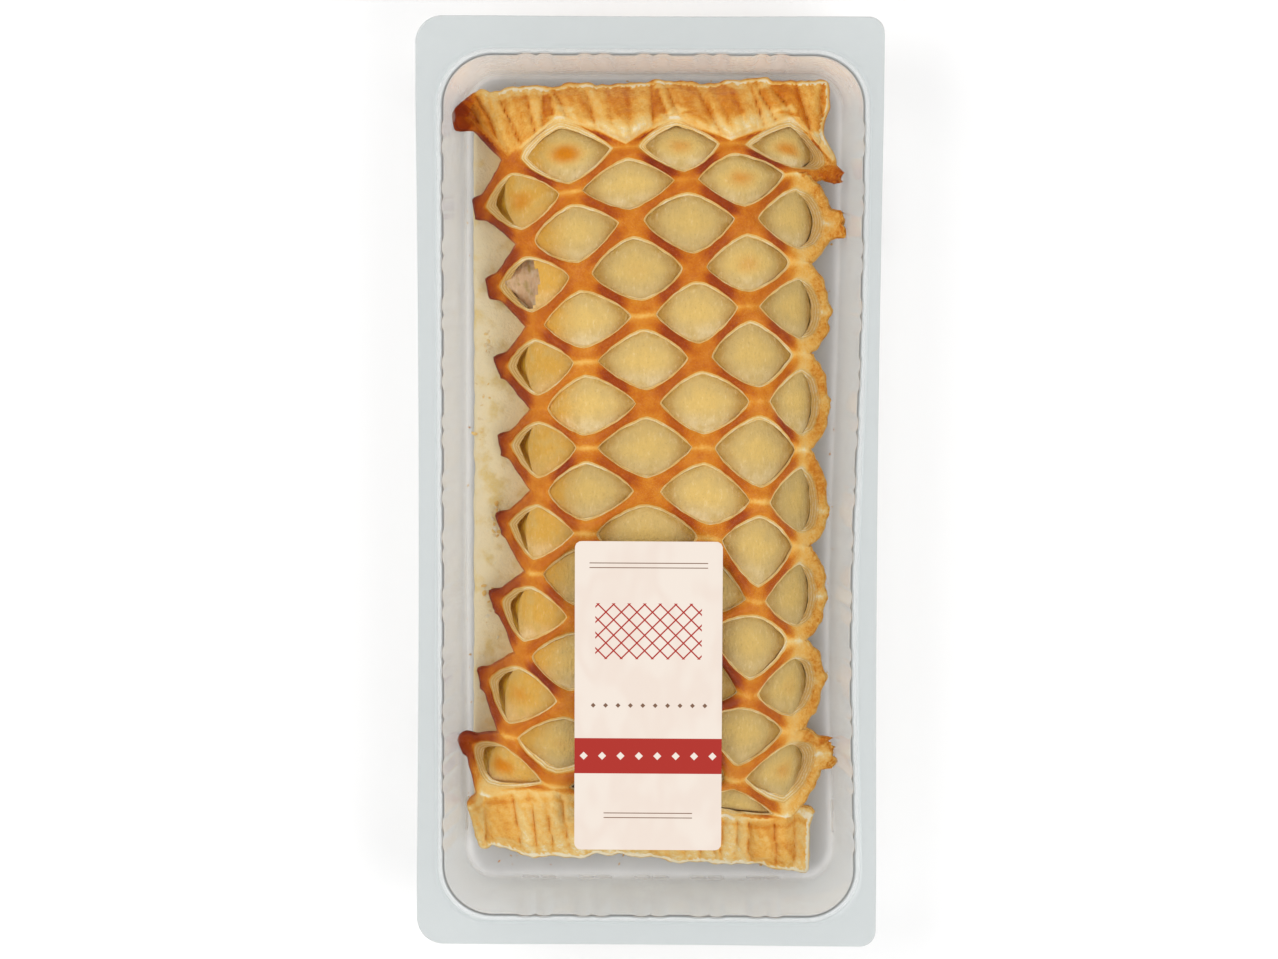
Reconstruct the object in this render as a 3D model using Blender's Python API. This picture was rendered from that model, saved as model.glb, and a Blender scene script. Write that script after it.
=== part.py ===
"""Salmon and spinach puff pastry in its sealed clear tray.

A long pastry of four layers lies in a tray with fluted walls. A base sheet carries the filling, a
cover sheet drapes over it, and a lattice sheet with crimped ends lies on top. A clear film closes
the tray, and a paper label lies on the film.

Sizes are in millimetres and the objects in metres. The tray's underside is z = 0, and its long
side runs along y.
"""

import math
from typing import NamedTuple

import bmesh
import bpy
from mathutils import Vector, noise

MM = 0.001
GAP = 0.3

# Tray
TRAY_WIDTH = 150.0
TRAY_LENGTH = 300.0
TRAY_HEIGHT = 38.0
WALL = 0.8
CAVITY_LEFT = -65.6
CAVITY_RIGHT = 68.1
CAVITY_NEAR = -139.8
CAVITY_FAR = 137.3
CAVITY_CORNER = 16.0
WALL_DRAFT = 4.5
FLOOR_FILLET = 3.0
RIM_ROUND = 1.2
FLANGE_BOW_LEFT = 2.2
FLANGE_BOW_RIGHT = 1.6
FLANGE_BOW_ENDS = 0.4
SIDE_POINTS = (8, 4)
CORNER_POINTS = 4
SIDE_SHARE = 0.9

# Flutes in the tray's walls, in pairs
FLUTE_DEPTH = 1.0
FLUTE_HALF_WIDTH = 2.6
FLUTE_SHOULDER = 1.0
FLUTE_APART = 5.9
FLUTE_PAIR_PITCH = 18.7
PAIRS_ALONG_SIDE = 13
PAIRS_ALONG_END = 5

# Film and label
FILM = 0.3
LABEL = 0.3
LABEL_LEFT = -23.3
LABEL_RIGHT = 24.2
LABEL_NEAR = -118.1
LABEL_FAR = -17.7
LABEL_CORNER = 2.0

# Base sheet
BASE_THICK = 4.0
BASE_RIGHT = 54.5
BASE_RIGHT_BOW = 1.5
BASE_LEFT = -57.2
BASE_LEFT_SKEW = 0.012
BASE_FAR = 124.0
BASE_NEAR = -122.2
BASE_NEAR_SKEW = -0.03
BASE_CORNER = 3.0
BASE_WAVE = 15.0
BASE_WAVINESS = 1.4
BASE_SIDE_STEPS = 14
BASE_END_STEPS = 6
BASE_EDGE = ((0.985, 0.0), (1.0, 0.3), (1.0, 0.7), (0.985, 1.0))

# Pastry layers, heights above the tray's floor
LIFT = BASE_THICK + 2 * GAP
END_HEIGHT = 11.5
STRAND_THICK = 5.0
COVER_CLEARANCE = 0.8
END_CLEARANCE = 2.0
LAST_FREE_ROW = 14.6
COVER_THICK = 2.2
PILLOW_HEIGHT = 3.4
STRAND_SHARE = 0.27
COVER_LINES = (0.82, 6.2)
COVER_ROWS = (-0.35, 15.2)
COVER_STEPS = 3
CORE_LINES = (0.97, 6.02)
CORE_ROWS = (-0.15, 14.95)
CORE_STEPS = (7, 16)
CORE_INSET = 0.06
LEAST_COVER = 1.0
TEAR_PLACE = (-42.0, 63.6, 17.5)
TEAR_RADII = (4.8, 8.2, 5.4)
TEAR_SEGMENTS = 14
TEAR_RINGS = 8

# Rows of crossings are numbered from the far end; the lattice is open between the end bands
MIDDLE_ROW = 7
FIRST_OPEN_ROW = 0
LAST_OPEN_ROW = 15
FAR_EDGE_ROW = -2
NEAR_EDGE_ROW = 17.5
FAR_RISE_ROWS = 3.2
NEAR_RISE_ROWS = 3.8
RISE_POWER = 2.3
FAR_FOLD_Y = 118.0
FAR_EDGE_Y = 126.6
FAR_EDGE_SLOPE = 0.45
NEAR_FOLD_Y = -102.0
NEAR_FOLD_SLOPE = -1.4
NEAR_EDGE_Y = -122.0
NEAR_EDGE_SLOPE = -1.1
SWAY_PERIOD = 14.0

# Lattice sheet
STEPS = 4
HOLE_SHARE_ACROSS = 0.76
HOLE_SHARE_ALONG = 0.64
HOLE_CURVE = 1.8
SHOULDER_SHARE = 0.74
SHOULDER_DROP = 0.9
LIP_DROP = 2.8
HEEL_SHARE = 0.93
BORDER = 2.6
BETWEEN_NUBS = 3.4
BAND_BORDER = 1.3
NUB = 3.4
LONG_NUB = 4.6
LONG_NUB_ROWS = (0, 2, 14)
BORDER_DROP = 1.4
BORDER_UNDERCUT = 0.75
BAND_ROWS = 3
BAND_PILLOW = 6.0
BAND_PILLOW_POWER = 1.5
BAND_RIDGE = 0.8
BAND_FADE_END = 0.8
ROUGH_SIZE = 9.0
ROUGH_DEPTH = 0.5


class CrossingLine(NamedTuple):
    """One line of strand crossings along the pastry, in millimetres.

    x is its place at mid-length, lean its shift and bow its curve by rows 0 and 14, y the place of
    row 7, pitch the step from row to row, sway the rows' drift along y, and height the strands'
    tops above the tray's floor.
    """

    x: float
    lean: float
    bow: float
    y: float
    pitch: float
    sway: float
    height: float


LINES = (
    CrossingLine(x=-45.4, lean=1.0, bow=10.3, y=11.0, pitch=12.9, sway=0.0, height=10.0),
    CrossingLine(x=-35.9, lean=-0.5, bow=10.2, y=10.4, pitch=13.4, sway=0.0, height=25.0),
    CrossingLine(x=-20.2, lean=-0.4, bow=7.5, y=11.7, pitch=13.9, sway=0.0, height=31.0),
    CrossingLine(x=0.0, lean=0.0, bow=7.5, y=12.0, pitch=14.1, sway=0.3, height=32.5),
    CrossingLine(x=18.0, lean=2.0, bow=6.0, y=11.8, pitch=14.4, sway=0.6, height=32.5),
    CrossingLine(x=37.0, lean=1.1, bow=9.6, y=9.3, pitch=15.0, sway=3.5, height=30.0),
    CrossingLine(x=50.7, lean=0.0, bow=3.8, y=9.7, pitch=15.1, sway=1.8, height=18.0),
    CrossingLine(x=56.2, lean=-0.8, bow=-0.5, y=7.5, pitch=14.4, sway=4.0, height=9.0),
)
LAST_LINE = len(LINES) - 1

# Crossings that were pulled out of line, as line and row, with the shift along x and y
SHIFTS = {
    (0, -2): (5.0, 0.0),
    (0, -1): (1.8, 0.0),
    (0, 15): (0.0, 4.2),
    (0, 16.5): (-1.0, 0.0),
    (0, 17.5): (3.0, 0.0),
    (3, 0): (0.0, -2.0),
    (3, 2): (-2.0, 2.5),
    (4, 9): (2.4, 0.0),
    (5, 0): (0.0, -3.0),
    (5, 4): (-2.5, 0.0),
    (7, -2): (-1.0, 0.0),
    (7, 0): (0.0, -3.4),
    (7, 2): (0.0, 2.4),
    (7, 8): (0.0, -3.6),
    (7, 12): (0.0, 2.0),
    (7, 14): (0.0, 4.0),
    (7, 16): (-3.0, 0.0),
    (7, 17.5): (-3.5, 0.0),
}


def mix(a, b, share):
    """Number or tuple part of the way from a to b."""
    if isinstance(a, tuple):
        return tuple(p + (q - p) * share for p, q in zip(a, b))
    return a + (b - a) * share


def clamp(value, low, high):
    return max(low, min(high, value))


def smooth_through(values, place):
    """Value of a smooth curve through evenly spaced values."""
    i = int(clamp(math.floor(place), 0, len(values) - 2))
    t = place - i
    before = values[max(i - 1, 0)]
    after = values[min(i + 2, len(values) - 1)]
    start, end = values[i], values[i + 1]
    slope_a = (end - before) / 2
    slope_b = (after - start) / 2
    return (
        start * (1 + 2 * t) * (1 - t) ** 2
        + slope_a * t * (1 - t) ** 2
        + end * t * t * (3 - 2 * t)
        - slope_b * t * t * (1 - t)
    )


class Surface:
    """Points and faces gathered piece by piece, where points that coincide become one."""

    def __init__(self):
        self.points = []
        self.found = {}
        self.faces = []

    def point(self, place):
        key = tuple(round(v, 3) for v in place)
        if key not in self.found:
            self.found[key] = len(self.points)
            self.points.append(place)
        return self.found[key]

    def face(self, *places):
        corners = []
        for place in places:
            index = self.point(place)
            if index not in corners:
                corners.append(index)
        if len(corners) > 2:
            self.faces.append(corners)

    def strip(self, first, second, closed=False):
        """Joins two rows of as many points with pairs of triangles."""
        count = len(first)
        for i in range(count if closed else count - 1):
            j = (i + 1) % count
            self.face(first[i], first[j], second[j])
            self.face(first[i], second[j], second[i])

    def bridge(self, first, second):
        """Joins two closed rings of (share of the way round, place), of any two counts."""
        i = j = 0
        while i < len(first) or j < len(second):
            next_i = first[i + 1][0] if i + 1 < len(first) else 1.0 + first[0][0]
            next_j = second[j + 1][0] if j + 1 < len(second) else 1.0 + second[0][0]
            a = first[i % len(first)][1]
            b = second[j % len(second)][1]
            if j >= len(second) or (i < len(first) and next_i <= next_j):
                self.face(a, first[(i + 1) % len(first)][1], b)
                i += 1
            else:
                self.face(a, second[(j + 1) % len(second)][1], b)
                j += 1

    def make(self, name, material, smooth_angle):
        """Blender object from the gathered faces, in metres and facing out."""
        mesh = bpy.data.meshes.new(name)
        scaled = [tuple(v * MM for v in place) for place in self.points]
        mesh.from_pydata(scaled, [], self.faces)
        work = bmesh.new()
        work.from_mesh(mesh)
        bmesh.ops.recalc_face_normals(work, faces=work.faces)
        work.to_mesh(mesh)
        work.free()
        mesh.shade_smooth()
        mesh.set_sharp_from_angle(angle=math.radians(smooth_angle))
        mesh.materials.append(material)
        obj = bpy.data.objects.new(name, mesh)
        bpy.context.scene.collection.objects.link(obj)
        return obj


def finish(name, colour, roughness, alpha=1.0):
    """Principled material with the part's colour, roughness and clearness."""
    material = bpy.data.materials.new(name)
    material.use_nodes = True
    shader = material.node_tree.nodes["Principled BSDF"]
    shader.inputs["Base Color"].default_value = (*colour, 1.0)
    shader.inputs["Roughness"].default_value = roughness
    shader.inputs["Alpha"].default_value = alpha
    return material


def ring_at(outline, height):
    """Ring of (share, place) at one height from (share, x, y) points."""
    return [(share, (x, y, height)) for share, x, y in outline]


def places(ring):
    return [place for _, place in ring]


def rounded_box(left, right, near, far, corners, bows=(0, 0, 0, 0), stops=SIDE_POINTS, flute=0.0):
    """Outline of a rounded rectangle as (share, x, y) points, counter-clockwise from near right.

    corners gives each corner's two radii and the power of its curve, where 2 is round and 1 a
    straight cut. bows draws each side in at its middle. stops is either the points along a long
    and a short side, or None for the points that the flutes need.
    """
    ends = ((right, near), (right, far), (left, far), (left, near))
    inward = ((-1, 1), (-1, -1), (1, -1), (1, 1))
    outward = ((1, 0), (0, 1), (-1, 0), (0, -1))
    outline = []
    for k in range(4):
        (ax, ay), (bx, by) = ends[k], ends[(k + 1) % 4]
        (arx, ary, _), (brx, bry, _) = corners[k], corners[(k + 1) % 4]
        along_y = k % 2 == 0
        out_x, out_y = outward[k]
        length = abs(by - ay) if along_y else abs(bx - ax)
        start = (ary if along_y else arx) / length
        end = 1 - (bry if along_y else brx) / length
        for share, swell in side_stops(length, start, end, along_y, stops):
            draw = bows[k] * 4 * share * (1 - share)
            x = mix(ax, bx, share) + out_x * (swell * flute - draw)
            y = mix(ay, by, share) + out_y * (swell * flute - draw)
            outline.append(((k + share * SIDE_SHARE) / 4, x, y))
        inward_x, inward_y = inward[(k + 1) % 4]
        power = corners[(k + 1) % 4][2]
        for step in range(1, CORNER_POINTS + 1):
            round_share = step / (CORNER_POINTS + 1)
            turn = math.pi / 2 * round_share
            across = abs(math.cos(turn)) ** (2 / power)
            along = abs(math.sin(turn)) ** (2 / power)
            if not along_y:
                across, along = along, across
            x = bx + inward_x * brx * (1 - across)
            y = by + inward_y * bry * (1 - along)
            outline.append(((k + mix(SIDE_SHARE, 1.0, round_share)) / 4, x, y))
    return outline


def side_stops(length, start, end, along_y, stops):
    """Shares along one side, each with its part of the flutes' depth."""
    if stops:
        count = stops[0] if along_y else stops[1]
        return [(mix(start, end, i / count), 0.0) for i in range(count + 1)]
    pairs = PAIRS_ALONG_SIDE if along_y else PAIRS_ALONG_END
    result = [(start, 0.0)]
    for pair in range(pairs):
        middle = length / 2 + (pair - (pairs - 1) / 2) * FLUTE_PAIR_PITCH
        for flute in (-FLUTE_APART / 2, FLUTE_APART / 2):
            for offset in (-FLUTE_HALF_WIDTH, -FLUTE_SHOULDER, FLUTE_SHOULDER, FLUTE_HALF_WIDTH):
                depth = math.sqrt(1 - (offset / FLUTE_HALF_WIDTH) ** 2)
                result.append(((middle + flute + offset) / length, depth))
    result.append((end, 0.0))
    return result


def flange_outline():
    """The flange's edge: two round corners on the left and two cut ones on the right."""
    corners = ((6.0, 4.5, 1.2), (6.0, 4.5, 1.2), (7.0, 7.0, 2.0), (10.0, 9.0, 2.0))
    bows = (FLANGE_BOW_RIGHT, FLANGE_BOW_ENDS, FLANGE_BOW_LEFT, FLANGE_BOW_ENDS)
    half_width = TRAY_WIDTH / 2
    half_length = TRAY_LENGTH / 2
    return rounded_box(-half_width, half_width, -half_length, half_length, corners, bows)


def cavity_outline(grow, fine=False, flute=0.0):
    """Outline of the tray's cavity at its mouth, grown outward by a distance."""
    radius = max(CAVITY_CORNER + grow, 1.0)
    return rounded_box(
        CAVITY_LEFT - grow,
        CAVITY_RIGHT + grow,
        CAVITY_NEAR - grow,
        CAVITY_FAR + grow,
        ((radius, radius, 2.0),) * 4,
        stops=None if fine else SIDE_POINTS,
        flute=flute,
    )


def tray(material):
    """Clear tray: a floor, four drafted walls with flutes, a rounded rim and a flange."""
    surface = Surface()
    under = TRAY_HEIGHT - WALL
    wall_top = TRAY_HEIGHT - RIM_ROUND
    low = -WALL_DRAFT
    inner = (
        ring_at(cavity_outline(low - FLOOR_FILLET), WALL),
        ring_at(cavity_outline(low, fine=True), WALL + FLOOR_FILLET),
        ring_at(cavity_outline(0.0, fine=True, flute=FLUTE_DEPTH), wall_top - 2 * WALL),
        ring_at(cavity_outline(0.0), wall_top),
        ring_at(cavity_outline(RIM_ROUND), TRAY_HEIGHT),
        ring_at(flange_outline(), TRAY_HEIGHT),
    )
    outer = (
        ring_at(flange_outline(), under),
        ring_at(cavity_outline(WALL + RIM_ROUND), under),
        ring_at(cavity_outline(WALL, fine=True, flute=FLUTE_DEPTH), wall_top - 2 * WALL),
        ring_at(cavity_outline(low + WALL, fine=True), WALL + FLOOR_FILLET),
        ring_at(cavity_outline(low - FLOOR_FILLET), 0.0),
    )
    rings = inner + outer
    for first, second in zip(rings, rings[1:]):
        if len(first) == len(second):
            surface.strip(places(first), places(second), closed=True)
        else:
            surface.bridge(first, second)
    surface.face(*places(rings[0]))
    surface.face(*places(rings[-1]))
    return surface.make("tray", material, 35)


def slab(name, outline, bottom, thick, material):
    """Flat sheet with the given outline."""
    surface = Surface()
    low = places(ring_at(outline, bottom))
    high = places(ring_at(outline, bottom + thick))
    surface.strip(low, high, closed=True)
    surface.face(*low)
    surface.face(*high)
    return surface.make(name, material, 30)


def film(material):
    """Clear film over the whole flange."""
    return slab("film", flange_outline(), TRAY_HEIGHT + GAP, FILM, material)


def label(material):
    """Paper label that lies flat on the film."""
    corners = ((LABEL_CORNER, LABEL_CORNER, 2.0),) * 4
    outline = rounded_box(LABEL_LEFT, LABEL_RIGHT, LABEL_NEAR, LABEL_FAR, corners, stops=(1, 1))
    return slab("label", outline, TRAY_HEIGHT + FILM + 2 * GAP, LABEL, material)


def crossing(line, row):
    """Plan place of a crossing, with the rows of both ends squeezed by the crimping."""
    spec = LINES[line]
    turned = (clamp(row, -1, 15) - MIDDLE_ROW) / MIDDLE_ROW
    x = spec.x + spec.lean * turned - spec.bow * turned * turned
    regular = clamp(row, FIRST_OPEN_ROW, LAST_OPEN_ROW)
    y = spec.y + (MIDDLE_ROW - regular) * spec.pitch
    y += spec.sway * math.sin(2 * math.pi * (regular - 1) / SWAY_PERIOD)
    far_edge = FAR_EDGE_Y + FAR_EDGE_SLOPE * line
    near_fold = NEAR_FOLD_Y + NEAR_FOLD_SLOPE * line
    near_edge = NEAR_EDGE_Y + NEAR_EDGE_SLOPE * line
    if row < 0:
        y = mix(y, FAR_FOLD_Y, min(-row, 1))
        y = mix(y, far_edge, clamp(-row - 1, 0, 1))
    if row > LAST_OPEN_ROW:
        y = mix(y, near_fold, min(row - LAST_OPEN_ROW, 1))
        y = mix(y, near_edge, clamp((row - LAST_OPEN_ROW - 1) / 1.5, 0, 1))
    dx, dy = SHIFTS.get((line, row), (0.0, 0.0))
    return (x + dx, y + dy)


def grid_place(line, row):
    """Plan place of a crossing, or of a cell's middle, at whole numbers of lines and rows."""
    if (line + row) % 2 or not 0 < line < LAST_LINE:
        return crossing(line, row)
    around = (
        crossing(line - 1, row),
        crossing(line + 1, row),
        crossing(line, row - 1),
        crossing(line, row + 1),
    )
    return tuple(sum(axis) / 4 for axis in zip(*around))


def place_at(line, row):
    """Plan place at any line and row, whole or not."""
    i = int(clamp(math.floor(line), 0, LAST_LINE - 1))
    j = math.floor(row)
    far = mix(grid_place(i, j), grid_place(i + 1, j), line - i)
    near = mix(grid_place(i, j + 1), grid_place(i + 1, j + 1), line - i)
    return mix(far, near, row - j)


def off_strand(line, row):
    """0 on a strand's centre-line and 1 in the middle of a cell."""
    i, j = math.floor(line), math.floor(row)
    a, b = line - i, row - j
    return abs(a - b) if (i + j) % 2 else abs(a + b - 1)


def in_open_cell(line, row):
    """Whether a place lies in a cell with a hole, not in a crimped one or outside the sheet."""
    i, j = math.floor(line), math.floor(row)
    a, b = line - i, row - j
    if (i + j) % 2:
        cell = (i + 1, j) if a > b else (i, j + 1)
    else:
        cell = (i, j) if a + b < 1 else (i + 1, j + 1)
    return 0 < cell[0] < LAST_LINE and FIRST_OPEN_ROW <= cell[1] <= LAST_OPEN_ROW


def dome(line, row):
    """Height of the strands' tops above the tray's floor."""
    from_far = clamp((row - FAR_EDGE_ROW) / FAR_RISE_ROWS, 0, 1)
    from_near = clamp((NEAR_EDGE_ROW - row) / NEAR_RISE_ROWS, 0, 1)
    rise = (1 - (1 - from_far) ** RISE_POWER) * (1 - (1 - from_near) ** RISE_POWER)
    middle = smooth_through([spec.height for spec in LINES], line)
    return END_HEIGHT + (middle - END_HEIGHT) * rise


def unevenness(place, size, depth):
    """Smooth rise and fall over the plan."""
    return depth * noise.noise(Vector((place[0] / size, place[1] / size, size)))


def strand_thickness(line, row):
    return min(STRAND_THICK, dome(line, row) - LIFT)


def flat_cover_height(line, row):
    """Height of the cover sheet with no pillows, lowered where the end bands fold over it."""
    past_end = max(0.0, -row, row - LAST_FREE_ROW)
    clearance = COVER_CLEARANCE + END_CLEARANCE * past_end
    return dome(line, row) - strand_thickness(line, row) - clearance


def cover_height(line, row):
    """Height of the cover sheet, which swells in each cell of the lattice."""
    flat = flat_cover_height(line, row)
    swell = clamp((off_strand(line, row) - STRAND_SHARE) / (1 - STRAND_SHARE), 0, 1)
    height = PILLOW_HEIGHT if in_open_cell(line, row) else 0.0
    return max(flat, LIFT + LEAST_COVER) + height * (1 - (1 - swell) ** 2)


def core_height(line, row):
    """Height of the filling under the cover sheet, with no pillows."""
    return max(flat_cover_height(line, row) - COVER_THICK, LIFT + LEAST_COVER + GAP)


def upright(place, height):
    """Point in space over a plan place, with its height counted from the tray's floor."""
    return (place[0], place[1], WALL + height)


def base_sheet(material):
    """Flat bottom sheet, wider than the lattice on its left side."""
    surface = Surface()
    outline = []
    side_near = BASE_NEAR + BASE_CORNER
    side_far = BASE_FAR - BASE_CORNER
    for i in range(BASE_SIDE_STEPS + 1):
        y = mix(side_near, side_far, i / BASE_SIDE_STEPS)
        bow = BASE_RIGHT_BOW * (1 - (y / BASE_FAR) ** 2)
        wave = unevenness((BASE_RIGHT, y), BASE_WAVE, BASE_WAVINESS)
        outline.append((BASE_RIGHT + bow + wave, y))
    for i in range(1, BASE_END_STEPS):
        x = mix(BASE_RIGHT, BASE_LEFT, i / BASE_END_STEPS)
        outline.append((x, BASE_FAR + unevenness((x, BASE_FAR), BASE_WAVE, BASE_WAVINESS)))
    for i in range(BASE_SIDE_STEPS + 1):
        y = mix(side_far, side_near, i / BASE_SIDE_STEPS)
        wave = unevenness((BASE_LEFT, y), BASE_WAVE, BASE_WAVINESS)
        outline.append((BASE_LEFT + BASE_LEFT_SKEW * y + wave, y))
    for i in range(1, BASE_END_STEPS):
        x = mix(BASE_LEFT, BASE_RIGHT, i / BASE_END_STEPS)
        wave = unevenness((x, BASE_NEAR), BASE_WAVE, BASE_WAVINESS)
        outline.append((x, BASE_NEAR + BASE_NEAR_SKEW * x + wave))
    rings = []
    for spread, share in BASE_EDGE:
        height = GAP + BASE_THICK * share
        rings.append([upright((x * spread, y * spread), height) for x, y in outline])
    for first, second in zip(rings, rings[1:]):
        surface.strip(first, second, closed=True)
    surface.face(*rings[0])
    surface.face(*rings[-1])
    return surface.make("pastry_base", material, 50)


def grid_rim(grid):
    """Points round a grid of rows, in order."""
    right = [row[-1] for row in grid[1:]]
    near = grid[-1][-2::-1]
    left = [row[0] for row in grid[-2:0:-1]]
    return grid[0] + right + near + left


def with_shares(ring):
    """Ring whose points carry their share of the way round."""
    return [(i / len(ring), place) for i, place in enumerate(ring)]


def core_grid(drawn_in, lower):
    """Grid over the filling's top, with its outermost points drawn in and all of it lowered."""
    across, along = CORE_STEPS
    lines = [mix(*CORE_LINES, i / across) for i in range(across + 1)]
    rows = [mix(*CORE_ROWS, j / along) for j in range(along + 1)]
    for stops, share in ((lines, drawn_in), (rows, 2 * drawn_in)):
        stops[0] += share
        stops[-1] -= share
    return [[upright(place_at(c, r), core_height(c, r) - lower) for c in lines] for r in rows]


def filling(material):
    """Filling, which runs the whole length under the cover and shows at the tear."""
    surface = Surface()
    grid = core_grid(CORE_INSET, 3 * GAP)
    for first, second in zip(grid, grid[1:]):
        surface.strip(first, second)
    rim = grid_rim(grid)
    foot = [(x, y, WALL + LIFT) for x, y, _ in rim]
    surface.strip(rim, foot, closed=True)
    surface.face(*foot)
    return surface.make("pastry_filling", material, 50)


def cover_stops(low, high):
    """Both ends of a span, with the grid's steps between them that aren't close to an end."""
    clear = 0.5 / COVER_STEPS
    first = math.ceil((low + clear) * COVER_STEPS)
    last = math.floor((high - clear) * COVER_STEPS)
    return [low] + [i / COVER_STEPS for i in range(first, last + 1)] + [high]


def cover(material):
    """Cover sheet over the filling, with a pillow in each cell and a tear on its left side."""
    surface = Surface()
    lines = cover_stops(*COVER_LINES)
    rows = cover_stops(*COVER_ROWS)
    grid = []
    for r in rows:
        grid.append([upright(place_at(c, r), cover_height(c, r)) for c in lines])
    for j in range(len(rows) - 1):
        for i in range(len(lines) - 1):
            a, b = grid[j][i], grid[j][i + 1]
            d, c = grid[j + 1][i], grid[j + 1][i + 1]
            middle_line = (lines[i] + lines[i + 1]) / 2
            middle_row = (rows[j] + rows[j + 1]) / 2
            if (math.floor(middle_line) + math.floor(middle_row)) % 2:
                surface.face(a, b, c)
                surface.face(a, c, d)
            else:
                surface.face(a, b, d)
                surface.face(b, c, d)
    rim = grid_rim(grid)
    foot = [(x, y, WALL + LIFT) for x, y, _ in rim]
    surface.strip(rim, foot, closed=True)
    ceiling = core_grid(0.0, 0.0)
    ceiling_rim = grid_rim(ceiling)
    inner_foot = [(x, y, WALL + LIFT) for x, y, _ in ceiling_rim]
    surface.bridge(with_shares(foot), with_shares(inner_foot))
    surface.strip(inner_foot, ceiling_rim, closed=True)
    for first, second in zip(ceiling, ceiling[1:]):
        surface.strip(first, second)
    sheet = surface.make("pastry_cover", material, 40)
    cut_tear(sheet)
    return sheet


def cut_tear(sheet):
    """Opens the tear with an egg-shaped cutter and applies the cut."""
    x, y, z = (v * MM for v in TEAR_PLACE)
    bpy.ops.mesh.primitive_uv_sphere_add(
        segments=TEAR_SEGMENTS, ring_count=TEAR_RINGS, radius=1.0, location=(x, y, z)
    )
    cutter = bpy.context.object
    cutter.scale = tuple(v * MM for v in TEAR_RADII)
    cut = sheet.modifiers.new("tear", "BOOLEAN")
    cut.operation = "DIFFERENCE"
    cut.object = cutter
    graph = bpy.context.evaluated_depsgraph_get()
    opened = bpy.data.meshes.new_from_object(sheet.evaluated_get(graph))
    opened.name = "pastry_cover"
    sheet.modifiers.clear()
    sheet.data = opened
    bpy.data.objects.remove(cutter)


class SheetPoint(NamedTuple):
    """Point of the lattice sheet: its plan place, its line and row, and its relief."""

    place: tuple
    line: float
    row: float
    relief: float = 0.0

    def top(self, drop=0.0):
        rough = unevenness(self.place, ROUGH_SIZE, ROUGH_DEPTH)
        return upright(self.place, dome(self.line, self.row) + self.relief + rough - drop)

    def bottom(self):
        height = dome(self.line, self.row) - strand_thickness(self.line, self.row)
        return upright(self.place, height)


def between(a, b, share):
    return SheetPoint(
        mix(a.place, b.place, share),
        mix(a.line, b.line, share),
        mix(a.row, b.row, share),
        mix(a.relief, b.relief, share),
    )


def node(line, row):
    return SheetPoint(crossing(line, row), line, row)


def strand_points(start, end):
    """Points along a strand's centre-line between two crossings, without the last."""
    return [between(start, end, i / STEPS) for i in range(STEPS)]


def hole_reach(quarter, share):
    """How far the hole reaches towards both crossings of one quarter, pointed at its sides."""
    to_start = quarter % 2 == 0
    across = 1 - share if to_start else share
    along = 1 - across ** HOLE_CURVE
    reach = (HOLE_SHARE_ACROSS * across, HOLE_SHARE_ALONG * along)
    return reach if to_start else reach[::-1]


def open_cell(surface, line, row):
    """Strand surfaces round one hole, from the centre-lines to the hole and back underneath."""
    corners = (
        node(line - 1, row),
        node(line, row - 1),
        node(line + 1, row),
        node(line, row + 1),
    )
    middle = SheetPoint(
        tuple(sum(axis) / 4 for axis in zip(*(c.place for c in corners))),
        line,
        row,
    )
    crest = []
    edge = []
    for k in range(4):
        start, end = corners[k], corners[(k + 1) % 4]
        for i in range(STEPS):
            share = i / STEPS
            crest.append(between(start, end, share))
            near_start, near_end = hole_reach(k, share)
            place = tuple(
                m + near_start * (s - m) + near_end * (e - m)
                for m, s, e in zip(middle.place, start.place, end.place)
            )
            on_line = line + near_start * (start.line - line) + near_end * (end.line - line)
            on_row = row + near_start * (start.row - row) + near_end * (end.row - row)
            edge.append(SheetPoint(place, on_line, on_row))
    shoulder = [between(c, e, SHOULDER_SHARE) for c, e in zip(crest, edge)]
    heel = [between(c, e, HEEL_SHARE) for c, e in zip(crest, edge)]
    rings = (
        [p.top() for p in crest],
        [p.top(SHOULDER_DROP) for p in shoulder],
        [p.top(LIP_DROP) for p in edge],
        [p.bottom() for p in heel],
        [p.bottom() for p in crest],
    )
    for first, second in zip(rings, rings[1:]):
        surface.strip(first, second, closed=True)


def end_band(surface, zigzag, edge_row):
    """Crimped end of the sheet, from the last crossings to the outer edge; returns its grid."""
    grid = [[] for _ in range(BAND_ROWS + 1)]
    for i in range(LAST_LINE * STEPS + 1):
        k = min(i // STEPS, LAST_LINE - 1)
        share = i / STEPS - k
        inner = between(node(k, zigzag[k]), node(k + 1, zigzag[k + 1]), share)
        outer = between(node(k, edge_row), node(k + 1, edge_row), share)
        for j in range(BAND_ROWS + 1):
            point = between(inner, outer, j / BAND_ROWS)
            fade = math.sin(math.pi * min(j / BAND_ROWS, BAND_FADE_END))
            ridge = BAND_RIDGE if i % 2 else -BAND_RIDGE
            swell = BAND_PILLOW * off_strand(point.line, point.row) ** BAND_PILLOW_POWER
            relief = fade * (swell + ridge)
            grid[j].append(point._replace(relief=relief))
    for first, second in zip(grid, grid[1:]):
        surface.strip([p.top() for p in first], [p.top() for p in second])
        surface.strip([p.bottom() for p in first], [p.bottom() for p in second])
    return grid


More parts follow.
